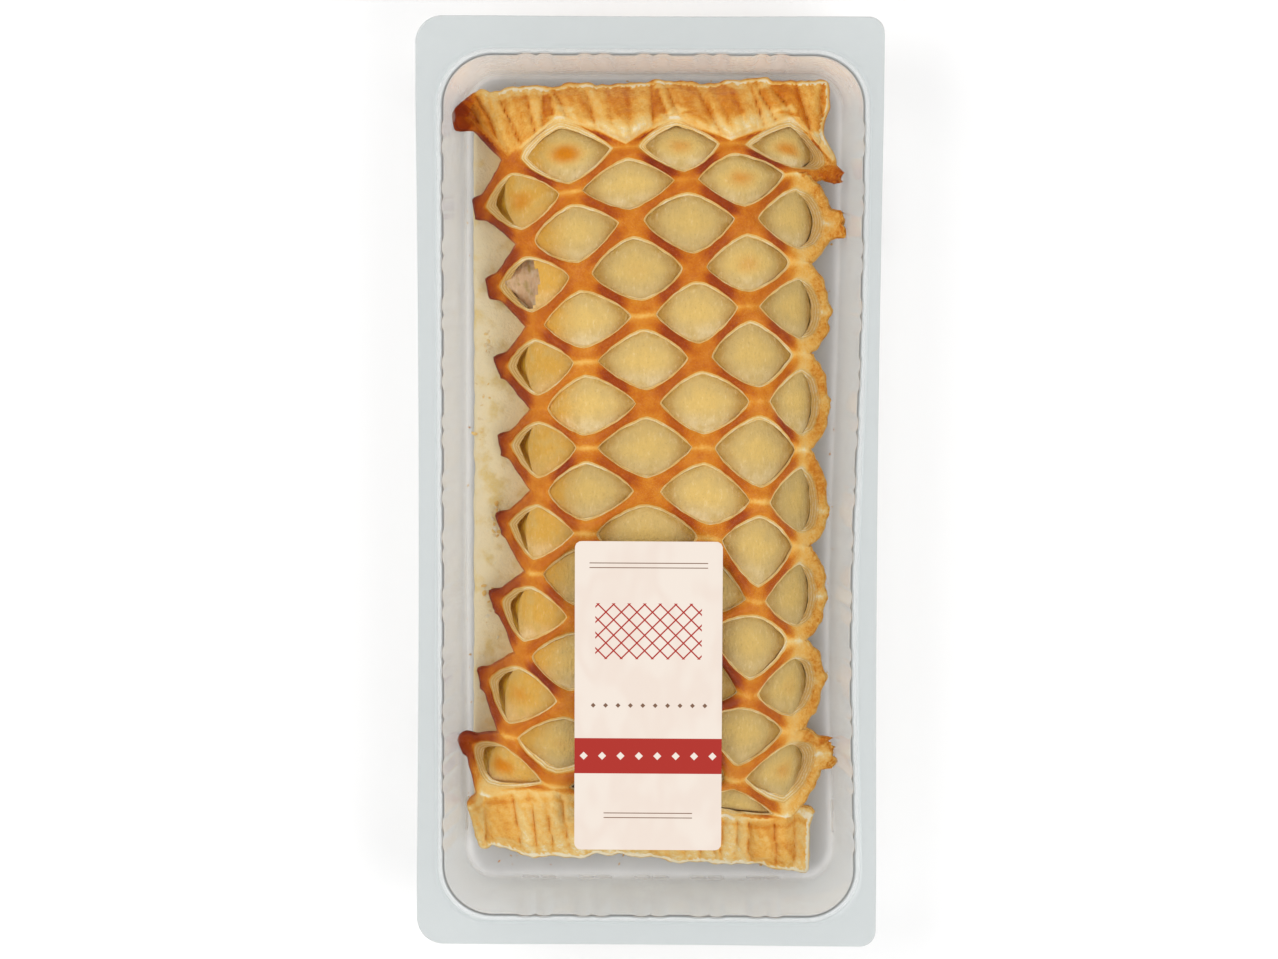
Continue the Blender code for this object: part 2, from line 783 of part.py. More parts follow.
def border(surface, loop, widths):
    """Closes the sheet's outer border with a rounded side, widened at the nubs."""
    count = len(loop)
    outer = []
    lower = []
    for i, point in enumerate(loop):
        before, after = loop[i - 1].place, loop[(i + 1) % count].place
        along = Vector((after[0] - before[0], after[1] - before[1])).normalized()
        out = Vector((along.y, -along.x))
        for ring, share in ((outer, 1.0), (lower, BORDER_UNDERCUT)):
            reach = out * widths[i] * share
            ring.append(point._replace(place=(point.place[0] + reach.x, point.place[1] + reach.y)))
    rings = (
        [p.top() for p in loop],
        [p.top(BORDER_DROP) for p in outer],
        [p.bottom() for p in lower],
        [p.bottom() for p in loop],
    )
    for first, second in zip(rings, rings[1:]):
        surface.strip(first, second, closed=True)


def lattice(material):
    """Lattice sheet with its rows of holes, crimped ends and nubs at the strands' side ends."""
    surface = Surface()
    for line in range(1, LAST_LINE):
        first = FIRST_OPEN_ROW + line % 2
        for row in range(first, LAST_OPEN_ROW + 1, 2):
            open_cell(surface, line, row)
    far_zigzag = [-1 if line % 2 == 0 else 0 for line in range(LAST_LINE + 1)]
    near_zigzag = [16.5] + [16 if line % 2 else 15 for line in range(1, LAST_LINE + 1)]
    far_band = end_band(surface, far_zigzag, FAR_EDGE_ROW)
    near_band = end_band(surface, near_zigzag, NEAR_EDGE_ROW)
    loop = []
    widths = []
    for row in range(-1, 16):
        start = node(row % 2 == 0, row)
        end = node(row % 2, row + 1)
        loop += strand_points(start, end)
        widths += [NUB if row % 2 else BETWEEN_NUBS] + [BORDER] * (STEPS - 1)
    loop += [node(1, 16)] + near_band[0][STEPS - 1:0:-1]
    widths += [BORDER] * STEPS
    near_left = [near_band[j][0] for j in range(BAND_ROWS)]
    near_edge = near_band[-1]
    near_right = [near_band[j][-1] for j in range(BAND_ROWS - 1, 0, -1)]
    loop += near_left + near_edge + near_right
    widths += [BAND_BORDER] * (len(near_left) + len(near_edge) + len(near_right))
    for row in range(16, 0, -1):
        start = node(LAST_LINE - row % 2, row)
        end = node(LAST_LINE - (row + 1) % 2, row - 1)
        loop += strand_points(start, end)
        nub = LONG_NUB if row in LONG_NUB_ROWS else NUB
        widths += [BETWEEN_NUBS if row % 2 else nub] + [BORDER] * (STEPS - 1)
    far_right = [far_band[j][-1] for j in range(BAND_ROWS)]
    far_edge = far_band[-1][::-1]
    far_left = [far_band[j][0] for j in range(BAND_ROWS - 1, 0, -1)]
    loop += far_right + far_edge + far_left
    widths += [BAND_BORDER] * (len(far_right) + len(far_edge) + len(far_left))
    border(surface, loop, widths)
    return surface.make("pastry_lattice", material, 50)


def main():
    for obj in list(bpy.data.objects):
        bpy.data.objects.remove(obj)
    tray(finish("clear_plastic", (0.68, 0.69, 0.70), 0.12, 0.4))
    film(finish("clear_film", (0.95, 0.95, 0.95), 0.08, 0.12))
    label(finish("label_paper", (0.85, 0.75, 0.68), 0.45))
    base_sheet(finish("pale_dough", (0.62, 0.50, 0.29), 0.7))
    filling(finish("salmon_filling", (0.49, 0.28, 0.12), 0.6))
    cover(finish("cover_dough", (0.70, 0.47, 0.17), 0.6))
    lattice(finish("baked_dough", (0.63, 0.22, 0.03), 0.4))


main()
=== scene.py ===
"""Looks of a salmon and spinach puff pastry in its sealed clear tray.

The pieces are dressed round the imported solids, which give every place and height. Shapes are worked
out in millimetres and become metres as each mesh is made. The lattice is laid out by lines of
crossings, which run along the pastry, and by rows, which are counted from its far end.
"""

import math
from typing import Callable, NamedTuple

import bmesh
import bpy
import numpy as np
from bpy.props import FloatProperty, FloatVectorProperty, IntProperty, PointerProperty
from bpy.types import Operator, Panel, PropertyGroup
from mathutils import Matrix, Vector, noise


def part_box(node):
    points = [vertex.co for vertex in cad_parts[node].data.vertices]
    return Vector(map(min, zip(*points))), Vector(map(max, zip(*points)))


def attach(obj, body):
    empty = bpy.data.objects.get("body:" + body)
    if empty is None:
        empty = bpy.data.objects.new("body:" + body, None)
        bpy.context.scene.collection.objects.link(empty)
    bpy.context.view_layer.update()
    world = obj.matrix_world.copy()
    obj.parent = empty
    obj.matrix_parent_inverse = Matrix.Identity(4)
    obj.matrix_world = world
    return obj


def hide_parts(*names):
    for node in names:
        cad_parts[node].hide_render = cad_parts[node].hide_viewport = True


bl_info = {
    "name": "Lattice Pastry in a Tray",
    "version": (1, 0, 0),
    "blender": (4, 5, 0),
    "location": "View3D > Sidebar > Pastry",
    "description": "Dresses a lattice-topped puff pastry, its tray, film and label",
    "category": "Object",
}

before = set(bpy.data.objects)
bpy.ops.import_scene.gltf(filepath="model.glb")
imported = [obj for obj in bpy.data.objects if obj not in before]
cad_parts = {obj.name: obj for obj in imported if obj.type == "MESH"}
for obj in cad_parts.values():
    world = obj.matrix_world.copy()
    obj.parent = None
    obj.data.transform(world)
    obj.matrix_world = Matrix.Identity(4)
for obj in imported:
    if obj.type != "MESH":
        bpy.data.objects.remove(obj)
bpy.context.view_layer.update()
MM = 0.001

# Layout of the pastry, in millimetres
WALL = 0.8
GAP = 0.3
LIFT = 4.6
END_HEIGHT = 11.5
COVER_CLEARANCE = 0.8
END_CLEARANCE = 2.0
LAST_FREE_ROW = 14.6
COVER_LINES = (0.66, 6.45)
COVER_ROWS = (-1.25, 16.2)
CORE_LINES = (1.03, 5.96)
CORE_ROWS = (-0.03, 14.83)
TEAR_PLACE = (-41.6, 64.8)
TEAR_RADII = (5.6, 9.4)
MIDDLE_ROW = 7
FIRST_OPEN_ROW = 0
LAST_OPEN_ROW = 15
FAR_LAST_ROW = FIRST_OPEN_ROW - 1
NEAR_LAST_ROW = LAST_OPEN_ROW + 1
FAR_EDGE_ROW = -2
NEAR_EDGE_ROW = 17.5
FAR_RISE_ROWS = 3.2
NEAR_RISE_ROWS = 3.8
RISE_POWER = 2.3
FAR_FOLD_Y = 118.0
FAR_EDGE_Y = 126.6
FAR_EDGE_SLOPE = 0.45
NEAR_FOLD_Y = -102.0
NEAR_FOLD_SLOPE = -1.4
NEAR_EDGE_Y = -122.0
NEAR_EDGE_SLOPE = -1.1
SWAY_PERIOD = 14.0

# Layout of the tray, in millimetres
CAVITY_LEFT = -65.6
CAVITY_RIGHT = 68.1
CAVITY_NEAR = -139.8
CAVITY_FAR = 137.3
CAVITY_CORNER = 16.0
CAVITY_BOW = 2.8
CAVITY_BOW_Y = -45.0
CAVITY_BOW_RUN = 75.0
WALL_DRAFT = 4.5
RIM_ROUND = 1.2
FLUTE_HALF_WIDTH = 2.6
FLUTE_APART = 5.9
FLUTE_PAIR_PITCH = 18.7
PAIRS_ALONG_SIDE = 13
PAIRS_ALONG_END = 5
CAVITY_TURNS = 26
FILLET_STEPS = 6
WALL_STEPS = 11
RIM_STEPS = 4
FLANGE_BOWS = (1.2, 0.4)
FLANGE_CORNER_LEFT = 9.0
FLANGE_CORNER_RIGHT = 5.5
STRAIGHT_OUT = 0.999
TRAY_PITCH = 0.9
FILM_PITCH = 2.4
LABEL_PITCH = 1.2
# Where the tray's wall ends under its rim, and the rim's foot as its inset and its drop
WALL_END_DROP = 1.2
RIM_FOOT = (-0.1, 0.5)
RIM_SPREAD = 0.9
RIM_INSET = 0.15
# Start of the flange, as the share of the rim's round and the drop
FLANGE_START = (1.5, 0.12)
# Profile of the flange, as the share of the way to its edge and the drop in millimetres
FLANGE_PROFILE = ((0.0, 0.25), (0.12, 0.3), (0.9, 0.3), (0.97, 0.25), (1.0, 0.4))
# Where the painted warm light on the far wall starts and is full, and where the flutes'
# glints end, along y
FAR_WALL = (118.0, 132.0)
GLINT_END = -100.0
GLINT = 0.7
# Rings of the tray that carry a mark: the first with the far wall's painted warm light and the
# one with the glints, from the floor's middle, and the painted dark line, from the rim's start
FAR_LIGHT_RING = 4
GLINT_RING = 6
RIM_SHADE_LINE_RING = 3


class CrossingLine(NamedTuple):
    """One line of strand crossings along the pastry, in millimetres.

    x is its place at mid-length, lean its shift and bow its curve by rows 0 and 14, y the place of
    row 7, pitch the step from row to row, sway the rows' drift along y, and height the strands'
    tops above the tray's floor.
    """

    x: float
    lean: float
    bow: float
    y: float
    pitch: float
    sway: float
    height: float


LINES = (
    CrossingLine(x=-47.4, lean=1.0, bow=10.3, y=11.0, pitch=12.9, sway=0.0, height=10.0),
    CrossingLine(x=-35.9, lean=-0.5, bow=10.2, y=10.4, pitch=13.4, sway=0.0, height=25.0),
    CrossingLine(x=-20.2, lean=-0.4, bow=7.5, y=11.7, pitch=13.9, sway=0.0, height=31.0),
    CrossingLine(x=0.0, lean=0.0, bow=7.5, y=12.0, pitch=14.1, sway=0.3, height=32.5),
    CrossingLine(x=18.0, lean=2.0, bow=6.0, y=11.8, pitch=14.4, sway=0.6, height=32.5),
    CrossingLine(x=37.0, lean=1.1, bow=9.6, y=9.3, pitch=15.0, sway=3.5, height=30.0),
    CrossingLine(x=50.7, lean=0.0, bow=3.8, y=9.7, pitch=15.1, sway=1.8, height=18.0),
    CrossingLine(x=57.0, lean=-0.8, bow=-0.5, y=7.5, pitch=14.4, sway=4.0, height=9.0),
)
LAST_LINE = len(LINES) - 1

# Holes of the lattice, as line and row
OPEN_CELLS = tuple(
    (line, row)
    for line in range(1, LAST_LINE)
    for row in range(FIRST_OPEN_ROW + line % 2, LAST_OPEN_ROW + 1, 2)
)

# Crossings that were pulled out of line, as line and row, with the shift along x and y
SHIFTS = {
    (0, -2): (7.0, 0.0),
    (0, -1): (2.2, 0.0),
    (0, 15): (0.6, 4.2),
    (0, 16.5): (1.0, 0.0),
    (0, 17.5): (5.0, 0.0),
    (2, 1): (0.0, -1.2),
    (3, 0): (0.0, -2.0),
    (3, 2): (-2.0, 2.5),
    (1, 16): (-4.5, 0.0),
    (4, 9): (2.4, 0.0),
    (5, 0): (0.0, -3.0),
    (5, 4): (-2.5, 0.0),
    (7, -2): (-1.8, 0.0),
    (7, 0): (1.2, -3.4),
    (7, 2): (0.8, 2.4),
    (7, 8): (0.0, -3.6),
    (7, 12): (0.0, 2.0),
    (7, 14): (0.4, 4.0),
    (7, 16): (-3.8, 0.0),
    (7, 17.5): (-4.3, 0.0),
}

# Open cells whose pillow the oven browned more than the others, as line and row
TOASTED_CELLS = {
    (2, 0): 1.0,
    (4, 0): 0.55,
    (6, 0): 0.75,
    (1, 1): 0.65,
    (5, 1): 0.6,
    (1, 3): 0.35,
    (5, 3): 0.45,
    (1, 13): 0.5,
    (1, 15): 0.9,
    (2, 14): 0.3,
    (6, 12): 0.3,
    (6, 14): 0.45,
    (3, 3): 0.25,
}

# Profile of a strand's glazed crown from its crest, as the share of the way and the drop in
# millimetres, and of its cut lip below, as shares of the way and of the lip's drop
CROWN_PROFILE = ((0.0, 0.0), (0.3, 0.02), (0.55, 0.12), (0.75, 0.3), (0.9, 0.55), (1.0, 0.8))
LIP_PROFILE = ((0.2, 0.16), (0.5, 0.42), (0.8, 0.72), (1.0, 1.0))
# Profile of the sheet's outer border, as the share of the way to the edge, the drop in
# millimetres and the share of the way to the underside
BORDER_PROFILE = (
    (0.0, 0.0, 0.0),
    (0.25, 0.05, 0.0),
    (0.5, 0.25, 0.0),
    (0.7, 0.6, 0.0),
    (0.86, 1.1, 0.0),
    (0.96, 1.7, 0.0),
    (1.0, 2.3, 0.0),
    (0.99, 2.9, 0.0),
    (0.94, 3.5, 0.0),
    (0.8, 0.0, 1.0),
    (0.4, 0.0, 1.0),
    (0.0, 0.0, 1.0),
)


def length(name, description, default):
    """Size in metres that a user may change."""
    return FloatProperty(
        name=name, description=description, default=default, precision=4, unit="LENGTH"
    )


def share(name, description, default):
    """Share between nothing and all."""
    return FloatProperty(
        name=name, description=description, default=default, min=0.0, max=1.0, subtype="FACTOR"
    )


def colour(name, description, default):
    """Linear colour that a user may change."""
    return FloatVectorProperty(
        name=name, description=description, default=default, min=0.0, max=1.0, subtype="COLOR"
    )


class PastrySizes(PropertyGroup):
    """Sizes of the pastry's own relief."""

    strand: length("Strand", "Thickness of the lattice sheet", 0.005)
    cover: length("Cover", "Thickness of the cover sheet", 0.0022)
    pillow: length("Pillow", "Rise of the cover in each hole of the lattice", 0.0048)
    border_left: length("Left border", "Reach of the lattice past its crests at the left", 0.0019)
    border_right: length("Right border", "Reach of the lattice past its crests at the right", 0.0024)
    steps: IntProperty(name="Steps", description="Points along a strand", default=26, min=4)


class PastryColours(PropertyGroup):
    """Colours of dough from raw to dark, and of the cover and filling."""

    flour: colour("Flour", "Flour left on the dough", (0.86, 0.76, 0.54))
    cut: colour("Cut edge", "Unglazed edge of the lattice", (0.83, 0.58, 0.22))
    gold: colour("Gold", "Lightly baked glaze", (0.8, 0.43, 0.09))
    light: colour("Light crust", "Glaze at the crossings", (0.67, 0.245, 0.02))
    crust: colour("Crust", "Glaze along the strands", (0.54, 0.142, 0.006))
    brown: colour("Brown crust", "Well baked stretches", (0.35, 0.056, 0.004))
    dark: colour("Dark crust", "Tips of the nubs", (0.2, 0.022, 0.004))
    # Painted shade, with layer lines, on the wide cut edges at both sides
    tan: colour("Tan", "Shaded layers of the wide cut edges", (0.65, 0.38, 0.11))
    pillow_side: colour("Pillow side", "Cover where it turns down", (0.86, 0.5, 0.04))
    # Specks with painted shade round a pillow's rim, and painted shade on the cover's skirt
    pillow_specks_and_shade: colour("Pillow specks", "Specks round a pillow", (0.46, 0.28, 0.06))
    pillow_gold: colour("Golden pillow", "Cover in the left holes", (0.66, 0.35, 0.055))
    # Painted shade towards the holes' tips, where the pillows run under the strands
    pillow_tip_shade: colour("Pillow rim", "Cover beside the strands", (0.36, 0.17, 0.024))
    pillow: colour("Pillow", "Cover in the holes", (0.585, 0.408, 0.152))
    pillow_middle: colour("Pillow middle", "Cover at the top of a pillow", (0.7, 0.475, 0.15))
    toast: colour("Toast", "Browned spot on a pillow", (0.64, 0.21, 0.006))
    base: colour("Base", "Bottom sheet", (0.88, 0.75, 0.49))
    # Painted light on the bottom sheet beside the lattice, lifting the lattice's shade
    base_fill_light: colour("Inner base", "Bottom sheet beside the lattice", (1.0, 0.85, 0.52))
    base_patch: colour("Base patch", "Yellow patches of the bottom sheet", (0.84, 0.64, 0.27))
    filling: colour("Filling", "Salmon filling", (0.68, 0.43, 0.23))
    filling_patch: colour("Filling patch", "Darker parts of the filling", (0.46, 0.29, 0.08))


class PackLook(PropertyGroup):
    """Sizes and colours of the tray, the film and the label."""

    sheet: length("Tray sheet", "Thickness of the tray's plastic", 0.0005)
    flute: length("Flute", "Depth of the flutes", 0.001)
    fillet: length("Fillet", "Round between the tray's floor and walls", 0.003)
    plastic: colour("Plastic", "Tint of the tray", (0.8, 0.8, 0.785))
    wall: colour("Plastic wall", "Tint of the walls and the flange", (0.64, 0.68, 0.68))
    # Painted warm light on the far wall, standing in for light from the pastry and lifting its shade
    far_wall_light: colour("Plastic far wall", "Tint of the wall at the far end", (1.0, 0.92, 0.82))
    # Painted dark line where the clear wall turns over under the rim
    edge: colour("Plastic edge", "Tint where the tray's wall turns over", (0.12, 0.12, 0.12))
    plastic_clear: share("Plastic cover", "How much of the light the plastic stops", 0.14)
    film: colour("Film", "Tint of the film", (0.9, 0.92, 0.95))
    film_clear: share("Film cover", "How much of the light the film stops", 0.0015)
    ripple: length("Ripple", "Waves of the film", 0.00012)
    paper: colour("Paper", "Label paper", (0.8, 0.71, 0.63))
    vein: colour("Vein", "Soft marbling of the label", (0.74, 0.6, 0.52))
    band: colour("Band", "Band across the label", (0.4, 0.03, 0.022))
    ink: colour("Ink", "Thin lines on the label", (0.2, 0.11, 0.07))


class StageLook(PropertyGroup):
    """Floor and light."""

    floor: colour("Floor", "Pale floor", (0.97, 0.97, 0.97))
    sky: FloatProperty(name="Sky", description="Strength of the even light", default=0.7)
    lamp: FloatProperty(name="Lamp", description="Power of each soft lamp in watts", default=7.2)
    crumbs: IntProperty(name="Crumbs", description="Loose crumbs in the tray", default=60)


def mix(a, b, part):
    """Value part of the way from a to b."""
    return a + (b - a) * part


def clamp(value, low=0.0, high=1.0):
    return np.clip(value, low, high)


def rise(value, low, high):
    """Smooth step from 0 at low to 1 at high."""
    t = clamp((value - low) / (high - low))
    return t * t * (3 - 2 * t)


def waver(x, y, size, layer=0.0):
    """Smooth random rise and fall over the plan, from about -1 to 1."""
    x, y = np.broadcast_arrays(x, y)
    flat = np.stack((x / size, y / size, np.full(x.shape, layer + size)), axis=-1)
    values = [noise.noise(point) for point in flat.reshape(-1, 3).tolist()]
    return np.array(values).reshape(x.shape)


def waved(x, y, waves):
    """Sum of wavers over the plan, each given by its size, its layer and its height."""
    return sum(waver(x, y, size, layer) * height for size, layer, height in waves)


def raised(place, height):
    """Points over a plan, at one height or at a height for each."""
    x, y = place[..., 0], place[..., 1]
    return np.stack((x, y, np.broadcast_to(height, x.shape)), axis=-1)


def smooth_through(values, place):
    """Smooth curve through evenly spaced values, read at an array of places."""
    values = np.asarray(values, float)
    i = clamp(np.floor(place), 0, len(values) - 2).astype(int)
    t = place - i
    before = values[np.maximum(i - 1, 0)]
    after = values[np.minimum(i + 2, len(values) - 1)]
    start, end = values[i], values[i + 1]
    slope_a = (end - before) / 2
    slope_b = (after - start) / 2
    return (
        start * (1 + 2 * t) * (1 - t) ** 2
        + slope_a * t * (1 - t) ** 2
        + end * t * t * (3 - 2 * t)
        - slope_b * t * t * (1 - t)
    )


def crossing(line, row):
    """Plan place of a crossing, with the rows of both ends squeezed by the crimping."""
    spec = LINES[line]
    turned = (min(max(row, FAR_LAST_ROW), LAST_OPEN_ROW) - MIDDLE_ROW) / MIDDLE_ROW
    x = spec.x + spec.lean * turned - spec.bow * turned * turned
    regular = min(max(row, FIRST_OPEN_ROW), LAST_OPEN_ROW)
    y = spec.y + (MIDDLE_ROW - regular) * spec.pitch
    y += spec.sway * math.sin(2 * math.pi * (regular - 1) / SWAY_PERIOD)
    far_edge = FAR_EDGE_Y + FAR_EDGE_SLOPE * line
    near_fold = NEAR_FOLD_Y + NEAR_FOLD_SLOPE * line
    near_edge = NEAR_EDGE_Y + NEAR_EDGE_SLOPE * line
    if row < 0:
        y = mix(y, FAR_FOLD_Y, min(-row, 1))
        y = mix(y, far_edge, min(max(-row - 1, 0), 1))
    if row > LAST_OPEN_ROW:
        y = mix(y, near_fold, min(row - LAST_OPEN_ROW, 1))
        y = mix(y, near_edge, min(max((row - LAST_OPEN_ROW - 1) / 1.5, 0), 1))
    dx, dy = SHIFTS.get((line, row), (0.0, 0.0))
    return np.array((x + dx, y + dy))


def grid_place(line, row):
    """Plan place of a crossing, or of a cell's middle, at whole numbers of lines and rows."""
    if (line + row) % 2 or not 0 < line < LAST_LINE:
        return crossing(line, row)
    return (
        crossing(line - 1, row)
        + crossing(line + 1, row)
        + crossing(line, row - 1)
        + crossing(line, row + 1)
    ) / 4


FIRST_ROW = -3
ROWS = range(FIRST_ROW, 20)
PLACES = np.array([[grid_place(line, row) for row in ROWS] for line in range(LAST_LINE + 1)])


def place_at(line, row):
    """Plan places at arrays of lines and rows, whole or not, as x and y."""
    i = clamp(np.floor(line), 0, LAST_LINE - 1).astype(int)
    j = np.floor(row).astype(int)
    a = (line - i)[..., None]
    b = (row - j)[..., None]
    j = j - FIRST_ROW
    far = mix(PLACES[i, j], PLACES[i + 1, j], a)
    near = mix(PLACES[i, j + 1], PLACES[i + 1, j + 1], a)
    place = mix(far, near, b)
    return place[..., 0], place[..., 1]


def cell_of(line, row):
    """Line and row of the cell that each place lies in."""
    i, j = np.floor(line), np.floor(row)
    a, b = line - i, row - j
    crossed = (i + j) % 2 == 1
    one = np.where(crossed, a > b, a + b < 1)
    cell_line = np.where(crossed, np.where(one, i + 1, i), np.where(one, i, i + 1))
    cell_row = np.where(crossed, np.where(one, j, j + 1), np.where(one, j, j + 1))
    return cell_line, cell_row


def dome(line, row):
    """Height of the strands' tops above the tray's floor."""
    from_far = clamp((row - FAR_EDGE_ROW) / FAR_RISE_ROWS)
    from_near = clamp((NEAR_EDGE_ROW - row) / NEAR_RISE_ROWS)
    swell = (1 - (1 - from_far) ** RISE_POWER) * (1 - (1 - from_near) ** RISE_POWER)
    middle = smooth_through([spec.height for spec in LINES], line)
    return END_HEIGHT + (middle - END_HEIGHT) * swell


def add_mark(mesh, name, values):
    """Gives each point of a mesh a number, which a finish reads by its name."""
    layer = mesh.attributes.new(name, "FLOAT", "POINT")
    layer.data.foreach_set("value", values.astype(np.float32))


def show(mesh, finish):
    """Object of a mesh in its finish, with the mesh's name."""
    mesh.materials.append(finish)
    obj = bpy.data.objects.new(mesh.name, mesh)
    bpy.context.scene.collection.objects.link(obj)
    return obj


class Shell:
    """Points with their marks and faces, gathered grid by grid for one mesh."""

    def __init__(self):
        self.points = []
        self.faces = []
        self.marks = []
        self.count = 0

    def grid(self, points, closed=False, keep=None, **marks):
        """Adds rows by columns of points, with quads between them where keep says so."""
        rows, columns = points.shape[:2]
        index = self.count + np.arange(rows * columns).reshape(rows, columns)
        if closed:
            index = np.concatenate((index, index[:, :1]), axis=1)
        quads = np.stack(
            (index[:-1, :-1], index[:-1, 1:], index[1:, 1:], index[1:, :-1]), axis=-1
        )
        if keep is not None:
            quads = quads[keep]
        self.points.append(points.reshape(-1, 3))
        self.faces.append(quads.reshape(-1, 4))
        self.marks.append(
            {key: np.broadcast_to(value, (rows, columns)).ravel() for key, value in marks.items()}
        )
        self.count += rows * columns

    def make(self, name, finish, smooth_angle=55, merge=0.004):
        """Blender object from what was gathered, in metres, with coinciding points merged."""
        points = np.concatenate(self.points) * MM
        mesh = bpy.data.meshes.new(name)
        mesh.from_pydata(points.tolist(), [], np.concatenate(self.faces).tolist())
        for key in sorted({key for marks in self.marks for key in marks}):
            values = [
                marks.get(key, np.zeros(len(part))) for marks, part in zip(self.marks, self.points)
            ]
            add_mark(mesh, key, np.concatenate(values))
        work = bmesh.new()
        work.from_mesh(mesh)
        bmesh.ops.remove_doubles(work, verts=work.verts, dist=merge * MM)
        loose = [vertex for vertex in work.verts if not vertex.link_faces]
        bmesh.ops.delete(work, geom=loose, context="VERTS")
        bmesh.ops.recalc_face_normals(work, faces=work.faces)
        work.to_mesh(mesh)
        work.free()
        mesh.shade_smooth()
        mesh.set_sharp_from_angle(angle=math.radians(smooth_angle))
        return show(mesh, finish)


def settle(obj, slot, *nodes):
    """Fixes a piece to the pack, in place of the solids that it stands for."""
    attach(obj, "root")
    if nodes:
        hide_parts(*nodes)
    return obj


class Socket:
    """Output of a shader node that takes part in Python expressions."""

    def __init__(self, finish, output):
        self.finish = finish
        self.output = output

    def maths(self, operation, *values):
        return self.finish.add("ShaderNodeMath", {"operation": operation}, values)

    def __add__(self, other):
        return self.maths("ADD", self, other)

    def __radd__(self, other):
        return self.maths("ADD", other, self)

    def __sub__(self, other):
        return self.maths("SUBTRACT", self, other)

    def __rsub__(self, other):
        return self.maths("SUBTRACT", other, self)

    def __mul__(self, other):
        return self.maths("MULTIPLY", self, other)

    def __rmul__(self, other):
        return self.maths("MULTIPLY", other, self)

    def __truediv__(self, other):
        return self.maths("DIVIDE", self, other)

    def __rtruediv__(self, other):
        return self.maths("DIVIDE", other, self)

    def __abs__(self):
        return self.maths("ABSOLUTE", self)

    def smaller(self, other):
        return self.maths("MINIMUM", self, other)

    def wrapped(self, low, high):
        return self.maths("WRAP", self, high, low)

    def rise(self, low, high):
        """Smooth step from 0 at low to 1 at high."""
        settings = {"interpolation_type": "SMOOTHSTEP"}
        inputs = {"Value": self, "From Min": low, "From Max": high}
        return self.finish.add("ShaderNodeMapRange", settings, inputs)

    def within(self, low, high, soft):
        """1 between low and high, fading to 0 past them."""
        return self.rise(low - soft, low) * (1 - self.rise(high, high + soft))


class Finish:
    """A material with its nodes, which are added by type, settings and socket values."""

    def __init__(self, name, **values):
        self.material = bpy.data.materials.new(name)
        self.material.use_nodes = True
        self.tree = self.material.node_tree
        self.surface = self.tree.nodes["Principled BSDF"]
        for key, value in values.items():
            self.feed(self.surface.inputs[key.replace("_", " ")], value)

    def add(self, kind, settings=(), inputs=(), output=0):
        """Node of any kind, as its output."""
        made = self.tree.nodes.new(kind)
        for key, value in dict(settings).items():
            if key == "stops":
                self.set_stops(made.color_ramp, value)
            else:
                setattr(made, key, value)
        pairs = inputs.items() if isinstance(inputs, dict) else enumerate(inputs)
        for key, value in pairs:
            self.feed(made.inputs[key], value)
        return Socket(self, made.outputs[output])

    def set_stops(self, ramp, stops):
        """Colours of a ramp, from (place, colour) pairs."""
        while len(ramp.elements) < len(stops):
            ramp.elements.new(1.0)
        for element, (place, tint) in zip(ramp.elements, stops):
            element.position = place
            element.color = (*tint, 1.0)

    def feed(self, socket, value):
        if isinstance(value, Socket):
            self.tree.links.new(value.output, socket)
        elif socket.type == "RGBA" and len(value) == 3:
            socket.default_value = (*value, 1.0)
        else:
            socket.default_value = value

    def mark(self, name):
        """A mark that the mesh carries."""
        return self.add("ShaderNodeAttribute", {"attribute_name": name}, output="Fac")

    def place(self, scale=(1.0, 1.0, 1.0)):
        """Place on the piece in millimetres, each axis scaled."""
        here = self.add("ShaderNodeTexCoord", output="Object")
        factors = tuple(v / MM for v in scale)
        return self.add("ShaderNodeVectorMath", {"operation": "MULTIPLY"}, (here, factors))

    def axes(self):
        """Place along x, y and z in millimetres."""
        apart = self.add("ShaderNodeSeparateXYZ", inputs=(self.place(),))
        others = [Socket(self, apart.output.node.outputs[i]) for i in (1, 2)]
        return apart, *others

    def speckle(self, size, detail=2.0, rough=0.5, scale=(1.0, 1.0, 1.0), layer=0.0):
        """Cloudy noise from 0 to 1 whose patches are about size millimetres across."""
        settings = {"noise_dimensions": "4D"}
        inputs = {
            "Vector": self.place(scale),
            "W": layer,
            "Scale": 1.0 / size,
            "Detail": detail,
            "Roughness": rough,
        }
        return self.add("ShaderNodeTexNoise", settings, inputs)

    def cells(self, size, feature="F1", scale=(1.0, 1.0, 1.0)):
        """Distance to scattered points about size millimetres apart, in shares of it."""
        inputs = {"Vector": self.place(scale), "Scale": 1.0 / size}
        return self.add("ShaderNodeTexVoronoi", {"feature": feature}, inputs, "Distance")

    def tint(self, base, top, part, how="MIX"):
        """Colour part of the way from base to top."""
        settings = {"data_type": "RGBA", "blend_type": how}
        return self.add("ShaderNodeMix", settings, {0: part, 6: base, 7: top}, 2)

    def ramp(self, value, stops):
        return self.add("ShaderNodeValToRGB", {"stops": stops}, (value,))

    def bump(self, height, depth, strength=1.0):
        """Normal from a height, with its depth in metres."""
        inputs = {"Strength": strength, "Distance": depth, "Height": height}
        return self.add("ShaderNodeBump", inputs=inputs)

    def dress(self, **sockets):
        """Feeds the surface and returns the material."""
        for key, value in sockets.items():
            self.feed(self.surface.inputs[key.replace("_", " ")], value)
        return self.material


